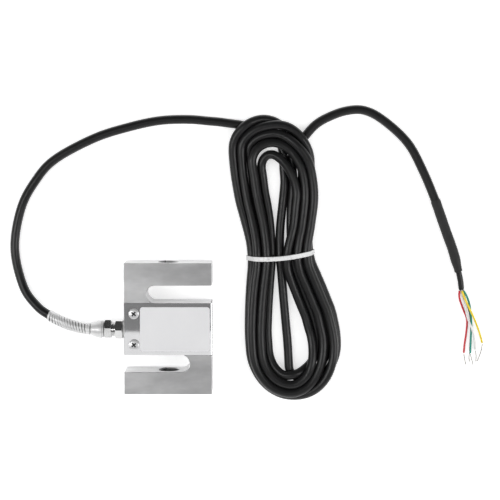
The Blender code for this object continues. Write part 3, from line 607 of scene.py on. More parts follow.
tailRoute = [
    (0.0848, 0.1164, floorZ),
    (0.0909, 0.1207, floorZ),
    (0.1025, 0.1251, floorZ),
    (0.1141, 0.1254, floorZ),
    (0.1258, 0.1191, floorZ),
    (0.1393, 0.1064, floorZ),
    (0.1482, 0.0903, floorZ),
    (0.1553, 0.0737, sleeveZ),
    (0.1578, 0.0667, sleeveZ),
]

# the hank's two groups of strands: height in y, then the left group's outer and inner edge
# and the right group's inner and outer edge, in millimetres
hankEdges = [
    (-17.3, 46.0, 61.4, 82.2, 99.0),
    (-8.4, 44.9, 60.1, 82.5, 99.4),
    (6.3, 45.1, 60.4, 78.9, 96.5),
    (21.1, 46.1, 61.2, 73.1, 90.4),
    (35.7, 48.0, 62.2, 67.4, 83.9),
    (41.0, 48.0, 62.4, 66.6, 82.4),
    (50.4, 47.0, 62.0, 64.4, 82.2),
    (60.9, 44.4, 61.4, 63.0, 82.9),
    (71.3, 41.5, 59.9, 63.0, 84.2),
    (79.5, 39.9, 58.4, 64.5, 84.5),
    (91.1, 38.0, 57.3, 66.0, 83.5),
    (102.6, 37.2, 55.0, 68.0, 81.8),
]
# each turn: its top and bottom, its share from the outer to the inner side of each group (above
# and below the band), where each side starts to bend, its layer at the right, top, left and bottom,
# and how flat its upper right bend is (1 is an ellipse)
hankTurns = [
    dict(top=(56.3, 118.8), low=(70.5, -40.2), left=(0.0, 0.0), right=(0.26, 0.22), rise=(103, 90),
         layers=(0, 1, 0.6, 0)),
    dict(top=(61.8, 112.8), low=(72.0, -34.4), left=(0.52, 0.5), right=(0.0, 0.02), rise=(102, 92),
         layers=(1, 0.4, 0, 0), slack=1.25),
    dict(top=(61.5, 117.9), low=(71.0, -40.0), left=(0.1, 0.02), right=(0.0, 0.0), rise=(104, 92),
         layers=(0.5, 1.8, 1.2, 1.4)),
    dict(top=(60.6, 107.8), low=(71.5, -34.8), left=(0.55, 0.52), right=(0.1, 0.6), rise=(96, 82),
         layers=(1.4, 1, 1, 0.8)),
    dict(top=(60.5, 99.9), low=(70.0, -32.3), left=(1.0, 1.0), right=(0.38, 1.0), rise=(92.5, 77),
         layers=(1, 1, 1, 1), slack=1.25),
]
hankTail = dict(right=(0.6, 0.8), layers=(0,))
hankHeights = {
    "lowBase": -12.0,  # where the lower bends start
    "crossFrom": 28,  # from here each strand goes over to its share above the band
    "crossSpan": 34,
    "waist": 39.8,  # the band's middle
    "tieLift": 1.0,  # how far the band's underside lifts the strands
    "tailTop": 86.0,  # where the last strand leaves the right group
}
# the strand that runs in from the lead, down the middle and round under the turns, and the way out
hankIn = [(35.0, 117.5), (43.0, 116.1), (50.0, 114.4), (56.0, 113.0), (61.8, 110.2), (66.0, 105.2),
          (68.0, 98.6), (68.4, 91.5), (68.6, 85.0), (67.9, 78.5), (66.7, 70.0)]
hankCore = [(65.4, 60.0, 2.6), (64.8, 52.0, 4.5), (64.7, 44.0, 7.4), (65.0, 37.5, 7.8), (65.6, 32.8, 7.8),
            (67.1, 15.2, 7.8), (68.5, 0.5, 7.2), (69.6, -9.4, 5.6), (70.4, -17.3, 4.0), (71.0, -23.0, 2.6)]
hankUnder = [(71.9, -28.0), (75.2, -31.8), (80.0, -33.4), (86.8, -30.6), (92.0, -23.4)]
hankOut = [(73.0, 92.5), (73.6, 99.0), (75.7, 104.8), (79.6, 110.3)]
strandRadius = 2.6  # in millimetres, as all of the hank's plan
layerHeight = 2 * strandRadius

settling = {
    "step": 3.0 * mm,  # between the points that settle
    "fit": 5.1 * mm,  # how near the middles of two strands may lie
    "rounds": 500,
    "held": (10, 6),  # points at the start and the end that stay where they are
    "lookEvery": 8,  # rounds from one search for neighbours to the next
    "lookPast": 4,  # how far past touching a neighbour is looked for, in millimetres
    "upright": 1.35,  # crossing strands part upwards sooner than sideways
    "crowding": 0.6,  # a point that many others push moves by less
    "sinkUntil": 0.85,  # share of the rounds
    "sink": 0.05,  # millimetres in a round
    "return": 0.04,  # how far a point goes back towards its planned place, at first
    "evenPlace": 0.35,  # how far each round evens out the strands' departure from the plan
    "evenHeight": 0.5,
    "liftLength": 10,  # millimetres on each side of the band over which its lift fades
}


def strandX(side, share, y):
    # where a strand lies across its group at a height: share 0 is the outer edge, 1 the inner
    rows = np.array(hankEdges)
    outerEdge, innerEdge = (rows[:, 1], rows[:, 2]) if side < 0 else (rows[:, 4], rows[:, 3])
    outer = np.interp(y, rows[:, 0], outerEdge) - side * strandRadius
    inner = np.interp(y, rows[:, 0], innerEdge) + side * strandRadius
    return outer + share * (inner - outer)


def strandRun(side, shares, fromY, toY, steps=15):
    points = []
    for k in range(steps + 1):
        y = fromY + (toY - fromY) * k / steps
        blend = min(1, max(0, (y - hankHeights["crossFrom"]) / hankHeights["crossSpan"]))
        share = shares[1] + (shares[0] - shares[1]) * blend * blend * (3 - 2 * blend)
        points.append((strandX(side, share, y), y))
    return points


def quarterTurn(start, apex, slack=1.0, steps=6):
    # from upright at the start to level at the apex, the start left out
    points = []
    for k in range(1, steps + 1):
        level, rise = (abs(f(math.pi / 2 * k / steps)) ** slack for f in (math.cos, math.sin))
        points.append((apex[0] + (start[0] - apex[0]) * level, start[1] + (apex[1] - start[1]) * rise))
    return points


def plannedHank():
    lowBase = hankHeights["lowBase"]
    path = [(x, y, strandRadius) for x, y in hankIn] + hankCore
    path += [(x, y, strandRadius) for x, y in hankUnder]

    def add(points, fromZ, toZ):
        count = len(points)
        path.extend((x, y, fromZ + (toZ - fromZ) * (k + 1) / count) for k, (x, y) in enumerate(points))

    for turn, following in zip(hankTurns, [*hankTurns[1:], hankTail]):
        right, top, left, low = (strandRadius + layer * layerHeight for layer in turn["layers"])
        up = strandRun(1, turn["right"], lowBase, turn["rise"][1])
        down = strandRun(-1, turn["left"], turn["rise"][0], lowBase)
        goal = (strandX(1, following["right"][1], lowBase), lowBase)
        goalZ = strandRadius + min(1, following["layers"][0]) * layerHeight
        add(up, path[-1][2], right)
        add(quarterTurn(up[-1], turn["top"], turn.get("slack", 1.0)), right, top)
        add(quarterTurn(down[0], turn["top"])[::-1][1:], top, left)
        add(down, left, left)
        add(quarterTurn(down[-1], turn["low"]), left, low)
        add(quarterTurn(goal, turn["low"])[::-1][1:], low, goalZ)
    add(strandRun(1, hankTail["right"], lowBase, hankHeights["tailTop"], 12), strandRadius, strandRadius)
    path.extend((x, y, strandRadius) for x, y in hankOut)
    return [(x * mm, y * mm, z * mm) for x, y, z in path]


def evened(values, amount):
    # each row but the first and the last, drawn towards the middle of its two neighbours
    result = values.copy()
    result[1:-1] += amount * (0.5 * (values[:-2] + values[2:]) - values[1:-1])
    return result


def pushApart(point, first, second, fit):
    # how far each point moves so that the pairs named come to lie a strand's width apart
    between = point[second] - point[first]
    distance = np.linalg.norm(between, axis=1) + 1e-9
    push = np.maximum(0, fit - distance)
    way = between / distance[:, None]
    way[:, 2] *= settling["upright"]
    way /= np.linalg.norm(way, axis=1)[:, None]
    shift = np.zeros_like(point)
    met = np.zeros(len(point))
    np.add.at(shift, first, -0.5 * push[:, None] * way)
    np.add.at(shift, second, 0.5 * push[:, None] * way)
    np.add.at(met, first, push > 0)
    np.add.at(met, second, push > 0)
    return shift / np.maximum(1, settling["crowding"] * met)[:, None]


def settleHank(line, held):
    # the strands push each other a strand's width apart and sink onto the floor and each other
    fit, floor, point = settling["fit"] / mm, cable["floor"] / mm, line / mm
    wanted = point.copy()
    free = np.ones((len(point), 1))
    free[held] = 0
    fromWaist = (wanted[:, 1] - hankHeights["waist"]) / settling["liftLength"]
    lift = hankHeights["tieLift"] * np.exp(-(fromWaist**2)) * free[:, 0]
    near = math.ceil(math.pi * fit / 2 / (settling["step"] / mm)) + 1
    for turn in range(settling["rounds"]):
        if turn % settling["lookEvery"] == 0:
            apart = ((point[:, None, :] - point[None, :, :]) ** 2).sum(-1)
            first, second = np.nonzero(np.triu(apart < (fit + settling["lookPast"]) ** 2, near))
        share = turn / settling["rounds"]
        point += pushApart(point, first, second, fit) * free
        if share < settling["sinkUntil"]:
            point[:, 2:] -= settling["sink"] * free
            point[:, :2] += settling["return"] * (1 - share) * (wanted - point)[:, :2] * free
        smoothed = wanted + evened(point - wanted, settling["evenPlace"])
        smoothed[:, 2] = evened(point[:, 2], settling["evenHeight"])
        point = np.where(free > 0, smoothed, point)
        point[:, 2] = np.maximum(point[:, 2], floor + lift)
    return point * mm


def makeCablePath():
    step, (heldStart, heldEnd) = settling["step"], settling["held"]
    lead = smoothRoute(leadRoute, step)
    planned = smoothRoute([*leadRoute[-3:], *plannedHank(), *tailRoute[:3]], step, detail=16)
    count = len(planned)
    settled = settleHank(planned, [*range(heldStart), *range(count - heldEnd, count)])
    tail = smoothRoute(tailRoute, step)
    startAt = np.argmin(np.linalg.norm(settled - np.array(leadRoute[-2]), axis=1))
    endAt = np.argmin(np.linalg.norm(settled - np.array(tailRoute[1]), axis=1))
    leadEnd = np.argmin(np.linalg.norm(lead - settled[startAt], axis=1))
    tailStart = np.argmin(np.linalg.norm(tail - settled[endAt], axis=1))
    whole = np.vstack([lead[:leadEnd], settled[startAt : endAt + 1], tail[tailStart + 1 :]])
    return smoothRoute(whole, cable["ringStep"], detail=8)


sweepTree = makeSweepTree()
cablePath = makeCablePath()
cableValues = {"Radius": cable["radius"], "Sides": cable["sides"], "Material": finishes["cable_jacket"]}
cableMesh = runTree(sweepTree, cableValues, curveObject(cablePath))
cableNodes = ["cable_guard_run", "cable_lead", "cable_hank", "cable_tail"]
cablePiece = addPiece("cable", cableMesh, "cable_jacket", cableNodes)

# the S body

body = {
    "width": 50.8 * mm,
    "height": 76.2 * mm,
    "back": 2.2 * mm,
    "front": 21.25 * mm,
    "arm": 13 * mm,
    "slot": 10 * mm,
    "slotWall": 13 * mm,
    "slotSteps": 40,
    "edge": 0.35 * mm,
    "bore": 6 * mm,
    "boreChamfer": 0.5 * mm,
    "boreSegments": 72,
    "lobe": 7.5 * mm,
    "lobeSpacing": 19 * mm,
    "lobeSteps": 48,
    "bridge": 9 * mm,
    "recess": 0.5 * mm,  # where the cover lies
    "port": 4.3 * mm,
    "portSegments": 48,
    "screwDepth": 6.3 * mm,
}
thread = {
    "pitch": 1.75 * mm,
    "depth": 0.85 * mm,
    "turns": 6.7,
    "foot": 0.44,  # half its width at the wall, in pitches
    "tip": 0.08,  # half its width at its edge, in pitches
    "wallGap": 0.05 * mm,
}
blockHalf = body["height"] / 2 - body["arm"] - body["slot"]
screwPlace = (-19.5 * mm, 9 * mm)
screwHole = 1.8 * mm


def alongX(x, across, up):
    return (x, glandAxis[0] + across, bodyMiddle + up)


def alongY(y, across, up):
    return (across, y, bodyMiddle + up)


def beamOutline():
    w, h = body["width"] / 2, body["height"] / 2
    radius = body["slot"] / 2
    closed = w - body["slotWall"] - radius
    middle = blockHalf + radius
    outline = [(w, h), (-w, h), (-w, -blockHalf)]
    outline += arc(closed, -middle, radius, 90, -90, body["slotSteps"])
    outline += [(-w, -middle - radius), (-w, -h), (w, -h), (w, blockHalf)]
    outline += arc(-closed, middle, radius, -90, -270, body["slotSteps"])
    return outline + [(w, middle + radius)]


def boreCutter(lowY, highY):
    r, chamfer = body["bore"], body["boreChamfer"]
    mouth = r + chamfer
    profile = [(highY + cutReach, mouth + cutReach), (highY, mouth), (highY - chamfer, r)]
    profile += [(lowY + chamfer, r), (lowY, mouth), (lowY - cutReach, mouth + cutReach)]
    return meshFromRings(turnedRings(profile, body["boreSegments"], alongY), "bore")


def rodMesh(radius, start, end, segments=32):
    start, end = Vector(start), Vector(end)
    bm = bmesh.new()
    size = dict(radius1=radius, radius2=radius, depth=(end - start).length)
    bmesh.ops.create_cone(bm, cap_ends=True, segments=segments, **size)
    turn = (end - start).to_track_quat("Z", "Y").to_matrix().to_4x4()
    bm.transform(Matrix.Translation((start + end) / 2) @ turn)
    return finishMesh(bm, "rod")


def makeBeam():
    w, h = body["width"] / 2, body["height"] / 2
    back, front, recess = body["back"], body["front"], body["recess"]
    block = plateMesh(beamOutline(), back, front, body["edge"], 2, "beam")
    seat, outX, outBack, outFront = blockHalf + gap, w + cutReach, back - cutReach, front + cutReach
    cutters = [
        boxMesh((-outX, -seat, front - recess), (outX, seat, outFront)),
        boxMesh((-outX, -seat, outBack), (outX, seat, back + recess)),
        boxMesh((w - recess, -seat, outBack), (outX, seat, outFront)),
        boreCutter(h - body["arm"], h),
        boreCutter(-h, -h + body["arm"]),
    ]
    neck = math.degrees(math.asin(body["bridge"] / 2 / body["lobe"]))
    lobeX = body["lobeSpacing"] / 2
    cavity = arc(lobeX, 0, body["lobe"], neck - 180, 180 - neck, body["lobeSteps"])
    cavity += arc(-lobeX, 0, body["lobe"], neck, 360 - neck, body["lobeSteps"])
    cutters.append(plateMesh(cavity, outBack, outFront))
    port = ((-outX, glandAxis[0], bodyMiddle), (-lobeX, glandAxis[0], bodyMiddle))
    cutters.append(rodMesh(body["port"], *port, body["portSegments"]))
    for side, face in ((1, front), (-1, back)):
        outside, inside = face + side * cutReach, face - side * body["screwDepth"]
        for y in (screwPlace[1], -screwPlace[1]):
            cutters.append(rodMesh(screwHole, (screwPlace[0], y, outside), (screwPlace[0], y, inside)))
    mesh = freshMesh(cutMesh(block, cutters), "beam")
    addPiece("beam", mesh, "beam_steel", ["beam_body"], evenShade=True)


def makeThreadTree():
    # one thread ridge wound inside a bore: a pointed section swept along a spiral
    inputs = [("Radius", "Float", 0.006), ("Depth", "Float", 0.0008), ("Pitch", "Float", 0.00175)]
    inputs += [("Turns", "Float", 7.0), ("Foot", "Float", 0.44), ("Tip", "Float", 0.08)]
    inputs += [("Wall Gap", "Float", 0.00005), ("Place", "Vector", (0.0, 0.0, 0.0))]
    tree, start, ends = newTree("threadRidge", inputs + [("Material", "Material", None)])
    out = start.outputs

    def product(a, b):
        return addNode(tree, "ShaderNodeMath", {0: a, 1: b}, operation="MULTIPLY").outputs[0]

    wound = {"Resolution": 40, "Rotations": out["Turns"], "Height": product(out["Pitch"], out["Turns"])}
    wound |= {"Start Radius": out["Radius"], "End Radius": out["Radius"]}
    spiral = addNode(tree, "GeometryNodeCurveSpiral", wound)
    upright = addNode(tree, "GeometryNodeSetCurveNormal", {"Curve": spiral.outputs[0]}, mode="Z_UP")
    foot, tip = product(out["Pitch"], out["Foot"]), product(out["Pitch"], out["Tip"])
    wall, depth = out["Wall Gap"], out["Depth"]
    corners = [(wall, foot), (wall, product(foot, -1.0)), (depth, product(tip, -1.0)), (depth, tip)]
    points = {}
    for k, (x, y) in enumerate(corners):
        points[f"Point {k + 1}"] = addNode(tree, "ShaderNodeCombineXYZ", {"X": x, "Y": y}).outputs[0]
    section = addNode(tree, "GeometryNodeCurvePrimitiveQuadrilateral", points, mode="POINTS")
    swept = {"Curve": upright.outputs[0], "Profile Curve": section.outputs[0], "Fill Caps": True}
    ridge = addNode(tree, "GeometryNodeCurveToMesh", swept)
    turn = {"Geometry": ridge.outputs[0], "Translation": out["Place"], "Rotation": (-math.pi / 2, 0, 0)}
    laid = addNode(tree, "GeometryNodeTransform", turn)
    endTree(tree, ends, laid.outputs[0], out["Material"])
    return tree


def makeThreads():
    tree = makeThreadTree()
    length = thread["turns"] * thread["pitch"]
    values = {"Radius": body["bore"], "Depth": thread["depth"], "Pitch": thread["pitch"]}
    values |= {"Turns": thread["turns"], "Foot": thread["foot"], "Tip": thread["tip"]}
    values |= {"Wall Gap": thread["wallGap"], "Material": finishes["shaded_thread_steel"]}
    for name, low in (("upper", body["height"] / 2 - body["arm"]), ("lower", -body["height"] / 2)):
        values["Place"] = (0, low + (body["arm"] - length) / 2, bodyMiddle)
        addPiece(f"{name}_bore_thread", runTree(tree, values), "beam_steel", finish="shaded_thread_steel")


makeBeam()
makeThreads()
print("body made")

# cover, label and screws

cover = {
    "sheet": 0.6 * mm,
    "frontZ": 21.65 * mm,
    "backZ": 1.8 * mm,
    "sideX": 25.8 * mm,
    "bend": 1.2 * mm,
    "corner": 1.5 * mm,
    "arcSteps": 10,
    "inset": 0.3 * mm,
    "edge": 0.08 * mm,
    "edgeSegments": 2,
    "edgeAngle": 50,  # degrees from which an edge of the sheet is rounded
}
label = {
    "left": -16 * mm,
    "right": 24.2 * mm,
    "height": 25.6 * mm,
    "corner": 1.7 * mm,
    "arcSteps": 10,
    "thickness": 0.2 * mm,
    "edge": 0.05 * mm,
}
screw = {
    "head": 3 * mm,
    "height": 1.5 * mm,
    "rim": 0.9 * mm,
    "rimEdge": 0.12 * mm,
    "domeAngles": (2, 12, 24, 36, 48, 60, 70, 80, 90),  # degrees from the axis
    "shank": 1.5 * mm,
    "length": 5.5 * mm,
    "segments": 48,
    "cross": (3.5 * mm, 0.95 * mm),
    "crossDepth": 0.9 * mm,
    "crossMouth": 1.25,  # share of its size that it has above the head
    "crossFloor": 0.62,  # and at its floor
    "recessBelow": 0.06 * mm,  # under the dome by this much, a face counts as recessed
    "recessWithin": 0.85,  # share of the head's radius
    "turns": {"front_upper": 52, "front_lower": 38, "back_upper": 15, "back_lower": 70},
}


def makeCover():
    sheet, bend, x, steps = cover["sheet"], cover["bend"], cover["sideX"], cover["arcSteps"]
    left, inside = -body["width"] / 2 + cover["inset"], bend - sheet
    front, back = cover["frontZ"], cover["backZ"]
    outer = [(left, front), *arc(x - bend, front - bend, bend, 90, 0, steps)]
    outer += arc(x - bend, back + bend, bend, 0, -90, steps)
    inner = arc(x - bend, back + bend, inside, -90, 0, steps)
    inner += arc(x - bend, front - bend, inside, 0, 90, steps)
    section = outer + [(left, back), (left, back + sheet)] + inner + [(left, front - sheet)]
    far = blockHalf + cutReach
    folded = meshFromRings([[(px, y, pz) for px, pz in section] for y in (-far, far)], "cover")
    corner, y, outBack, outFront = cover["corner"], blockHalf, back - cutReach, front + cutReach
    outline = arc(x - corner, y - corner, corner, 0, 90, steps) + [(-2 * x, y), (-2 * x, -y)]
    outline += arc(x - corner, -y + corner, corner, -90, 0, steps)
    trimmed = cutMesh(folded, [plateMesh(outline, outBack, outFront)], "INTERSECT")
    holes = []
    for holeY in (screwPlace[1], -screwPlace[1]):
        holes.append(rodMesh(screwHole, (screwPlace[0], holeY, outBack), (screwPlace[0], holeY, outFront)))
    piece = addPiece("cover", freshMesh(cutMesh(trimmed, holes), "cover"), "cover_sheet", ["cover_shell"])
    edge = piece.modifiers.new("Cut edge", "BEVEL")
    edge.width, edge.segments, edge.limit_method = cover["edge"], cover["edgeSegments"], "ANGLE"
    edge.angle_limit = math.radians(cover["edgeAngle"])
    weighted = piece.modifiers.new("Even shade", "WEIGHTED_NORMAL")
    weighted.keep_sharp = True


def makeLabel():
    x, y, r = (label["right"] - label["left"]) / 2, label["height"] / 2, label["corner"]
    middle = (label["right"] + label["left"]) / 2
    outline = []
    for cx, cy, start in ((x - r, y - r, 0), (r - x, y - r, 90), (r - x, r - y, 180), (x - r, r - y, 270)):
        outline += arc(middle + cx, cy, r, start, start + 90, label["arcSteps"])
    low = cover["frontZ"] + gap
    mesh = plateMesh(outline, low, low + label["thickness"], label["edge"], 2, "label")
    addPiece("label", mesh, "label_film", ["label_plate"], evenShade=True)


def crossCutter(turn):
    # one arm of the cross, which narrows towards its floor
    length, width = screw["cross"]
    heights = (screw["height"] + shortReach, screw["height"] - screw["crossDepth"])
    turned = Matrix.Rotation(math.radians(turn), 3, "Z")
    rings = []
    for z, size in zip(heights, (screw["crossMouth"], screw["crossFloor"])):
        x, y = length / 2 * size, width / 2 * size
        corners = [(-x, -y), (x, -y), (x, y), (-x, y)]
        rings.append([tuple(turned @ Vector((cx, cy, z))) for cx, cy in corners])
    return meshFromRings(rings, "cross")


def screwMesh():
    head, base, shank = screw["head"], screw["rim"], screw["shank"]
    rise = screw["height"] - base
    angles = [math.radians(a) for a in screw["domeAngles"]]
    profile = [(base + rise * math.cos(a), head * math.sin(a)) for a in angles]
    profile += [(screw["rimEdge"], head), (0, head - screw["rimEdge"]), (0, shank)]
    low, tip = -screw["length"], shank / 3
    profile += [(low + tip, shank), (low, shank - tip)]
    rings = turnedRings(profile, screw["segments"], lambda along, u, v: (u, v, along))
    return cutMesh(meshFromRings(rings, "screw"), [crossCutter(0), crossCutter(90)])


def markShadedRecess(mesh):
    # corners of the faces that lie below the dome, inside the cross, which get the painted shade
    mark = mesh.attributes.new("recess", "FLOAT", "CORNER")
    for face in mesh.polygons:
        x, y, z = face.center
        share = min(1, math.hypot(x, y) / screw["head"])
        dome = screw["rim"] + (screw["height"] - screw["rim"]) * math.sqrt(1 - share * share)
        inside = 0 < z < dome - screw["recessBelow"] and share < screw["recessWithin"]
        for corner in face.loop_indices:
            mark.data[corner].value = 1.0 if inside else 0.0


def makeScrews():
    base = freshMesh(screwMesh(), "screw")
    markShadedRecess(base)
    for name, degrees in screw["turns"].items():
        outward = 1 if name.startswith("front") else -1
        y = screwPlace[1] if name.endswith("upper") else -screwPlace[1]
        z = cover["frontZ"] + gap if outward > 0 else cover["backZ"] - gap
        flip = Matrix.Identity(4) if outward > 0 else Matrix.Rotation(math.pi, 4, "X")
        mesh = base.copy()
        turn = Matrix.Rotation(math.radians(degrees), 4, "Z")
        mesh.transform(Matrix.Translation((screwPlace[0], y, z)) @ flip @ turn)
        addPiece(f"screw_{name}", mesh, "screw_steel", [f"cover_screw_{name}"], evenShade=True)


makeCover()
makeLabel()
makeScrews()
print("cover, label and screws made")

# the gland: its body, washer, nut and ferrule

gland = {
    "segments": 96,
    "bore": 2.9 * mm,
    "flats": 10.2 * mm,
    "chamfer": 0.6 * mm,
    "chamferSteps": 4,
    "chamferBow": 0.8,
    "hexAngle": 24,  # degrees past which an edge of a hexagon stays sharp
    "turnedAngle": 30,  # the same for the turned parts
    "flange": (-26.6 * mm, -31.2 * mm),
    "overlap": 0.5 * mm,  # how far neck and shank reach into the hexagon
    "neck": 4.35 * mm,
    "neckWall": 0.8 * mm,
    "neckEdge": 0.3 * mm,
    "neckEnd": -36.2 * mm,
    "ridges": 5,
    "ridgeStart": 0.1 * mm,
    "ridgePitch": 0.34 * mm,
    "ridgeDepth": 0.2 * mm,
    "shank": 4.0 * mm,
    "shankEdge": 0.4 * mm,
    "shankEnd": -18.2 * mm,
}
washer = {"ends": (-25.7 * mm, -26.3 * mm), "hole": 4.3 * mm, "radius": 5.4 * mm, "edge": 0.15 * mm}
nut = {
    "ends": (-33.1 * mm, -37.5 * mm),
    "turn": 12,  # degrees from the gland's hexagon
    "hole": 4.65 * mm,
    "cap": 1.2 * mm,
}
ferrule = {
    "start": -37.8 * mm,
    "radius": 5.15 * mm,
    "edge": 0.15 * mm,
    "groove": 0.8 * mm,
    "lip": 0.4 * mm,  # how far the rim by the nut stands over the groove
    "lipEnd": 0.6 * mm,  # from the start, as the next two
    "grooveEnd": 1.0 * mm,
    "coneStart": 2.5 * mm,
    "coneSteps": 8,
    "coneBow": 1.15,
    "nose": 3.45 * mm,
}


def hexRings(inner, outer, corner):
    # a hexagon's sides cut by its chamfer cone, as rings round the axis; corner is a corner's angle
    flat, chamfer, count = gland["flats"] / 2, gland["chamfer"], gland["segments"]
    point, parts = flat / math.cos(math.radians(30)), gland["chamferSteps"]
    cone = []
    for k in range(1, parts + 1):
        limit = flat - gap + (point - flat + gap) * (k / parts) ** gland["chamferBow"]
        cone.append((chamfer * k / parts, limit))
    steps = [(inner, flat - gap), *[(inner - x, limit) for x, limit in cone]]
    steps += [*[(outer + x, limit) for x, limit in cone[::-1]], (outer, flat - gap)]
    rings = []
    for x, limit in steps:
        ring = []
        for k in range(count):
            degrees = corner + 360 * k / count
            off = (degrees - corner) % 60 - 30
            r = min(limit, flat / math.cos(math.radians(off)))
            ring.append(alongX(x, r * math.cos(math.radians(degrees)), r * math.sin(math.radians(degrees))))
        rings.append(ring)
    return rings


def hexMesh(ends, corner, name):
    return meshFromRings(hexRings(*ends, corner), name, smoothAngle=gland["hexAngle"])


def ringMesh(profile, name, closed=True):
    rings = turnedRings(profile, gland["segments"], alongX)
    return meshFromRings(rings, name, closed=closed, smoothAngle=gland["turnedAngle"])


def makeGlandBody():
    bore, wall, over = gland["bore"], gland["bore"] + gland["neckWall"], gland["overlap"]
    radius, edge, end = gland["neck"], gland["neckEdge"], gland["neckEnd"]
    inner, outer = gland["flange"]
    neck = [(end, wall), (end, radius - edge), (end + edge, radius)]
    for k in range(gland["ridges"]):  # the neck's thread, as far as the nut leaves it bare
        x = nut["ends"][0] + gland["ridgeStart"] + k * gland["ridgePitch"]
        neck += [(x, radius), (x + gland["ridgePitch"] / 2, radius - gland["ridgeDepth"])]
    neck += [(outer + over, radius), (outer + over, wall)]
    radius, edge, shankEnd = gland["shank"], gland["shankEdge"], gland["shankEnd"]
    shank = [(inner - over, bore), (inner - over, radius), (shankEnd - edge, radius)]
    shank += [(shankEnd, radius - edge), (shankEnd, bore)]
    mesh = hexMesh(gland["flange"], 90, "gland")
    for part in (ringMesh(neck, "neck"), ringMesh(shank, "shank")):
        mesh = cutMesh(mesh, [part], "UNION")
    through = [(end - shortReach, bore), (shankEnd + shortReach, bore)]
    mesh = freshMesh(cutMesh(mesh, [ringMesh(through, "through", closed=False)]), "gland", gland["hexAngle"])
    return addPiece("gland_hexagon", mesh, "gland_metal", ["gland_body"], evenShade=True)


def makeWasher():
    inner, outer = washer["ends"]
    hole, radius, edge = washer["hole"], washer["radius"], washer["edge"]
    profile = [(inner, hole), (inner, radius - edge), (inner - edge, radius), (outer + edge, radius)]
    profile += [(outer, radius - edge), (outer, hole)]
    return addPiece("washer", ringMesh(profile, "washer"), "washer_fibre", ["seal_washer"])


def makeNut():
    inner, outer = nut["ends"]
    hole, bore, seat = nut["hole"], gland["bore"], outer + nut["cap"]
    profile = [(inner + shortReach, hole), (seat, hole), (seat, bore), (outer - shortReach, bore)]
    mesh = cutMesh(hexMesh(nut["ends"], 90 - nut["turn"], "nut"), [ringMesh(profile, "hole", closed=False)])
    mesh = freshMesh(mesh, "nut", gland["hexAngle"])
    return addPiece("nut", mesh, "gland_metal", ["clamp_nut"], evenShade=True)


def makeFerrule():
    start, full, edge = ferrule["start"], ferrule["radius"], ferrule["edge"]
    groove, grooveEnd = full - ferrule["groove"], start - ferrule["grooveEnd"]
    lip, lipEnd, cone = groove + ferrule["lip"], start - ferrule["lipEnd"], start - ferrule["coneStart"]
    profile = [(start, gland["bore"]), (start, lip - edge), (start - edge, lip), (lipEnd, lip)]
    profile += [(lipEnd, groove), (grooveEnd, groove), (grooveEnd, full - edge), (grooveEnd - edge, full)]
    profile.append((cone, full))
    for k in range(1, ferrule["coneSteps"] + 1):  # the cone rounds gently into the nose
        share = k / ferrule["coneSteps"]
        narrowed = (ferrule["nose"] - full) * share ** ferrule["coneBow"]
        profile.append((cone + (noseX - cone) * share, full + narrowed))
    profile.append((noseX, gland["bore"]))
    mesh = ringMesh(profile, "ferrule")
    return addPiece("ferrule", mesh, "gland_metal", ["guard_ferrule"], evenShade=True, finish="ferrule_metal")


glandPieces = [makeGlandBody(), makeWasher(), makeNut(), makeFerrule()]
print("gland made")

# the spring guard

guard = {
    "turns": 15,
    "pitch": 1.65 * mm,
    "wire": (1.25 * mm, 0.4 * mm),  # width and thickness
    "lean": math.radians(34),
    "rise": 1.4,
    "routeStep": 0.5 * mm,
    "turnEdge": 0.1 * mm,
}


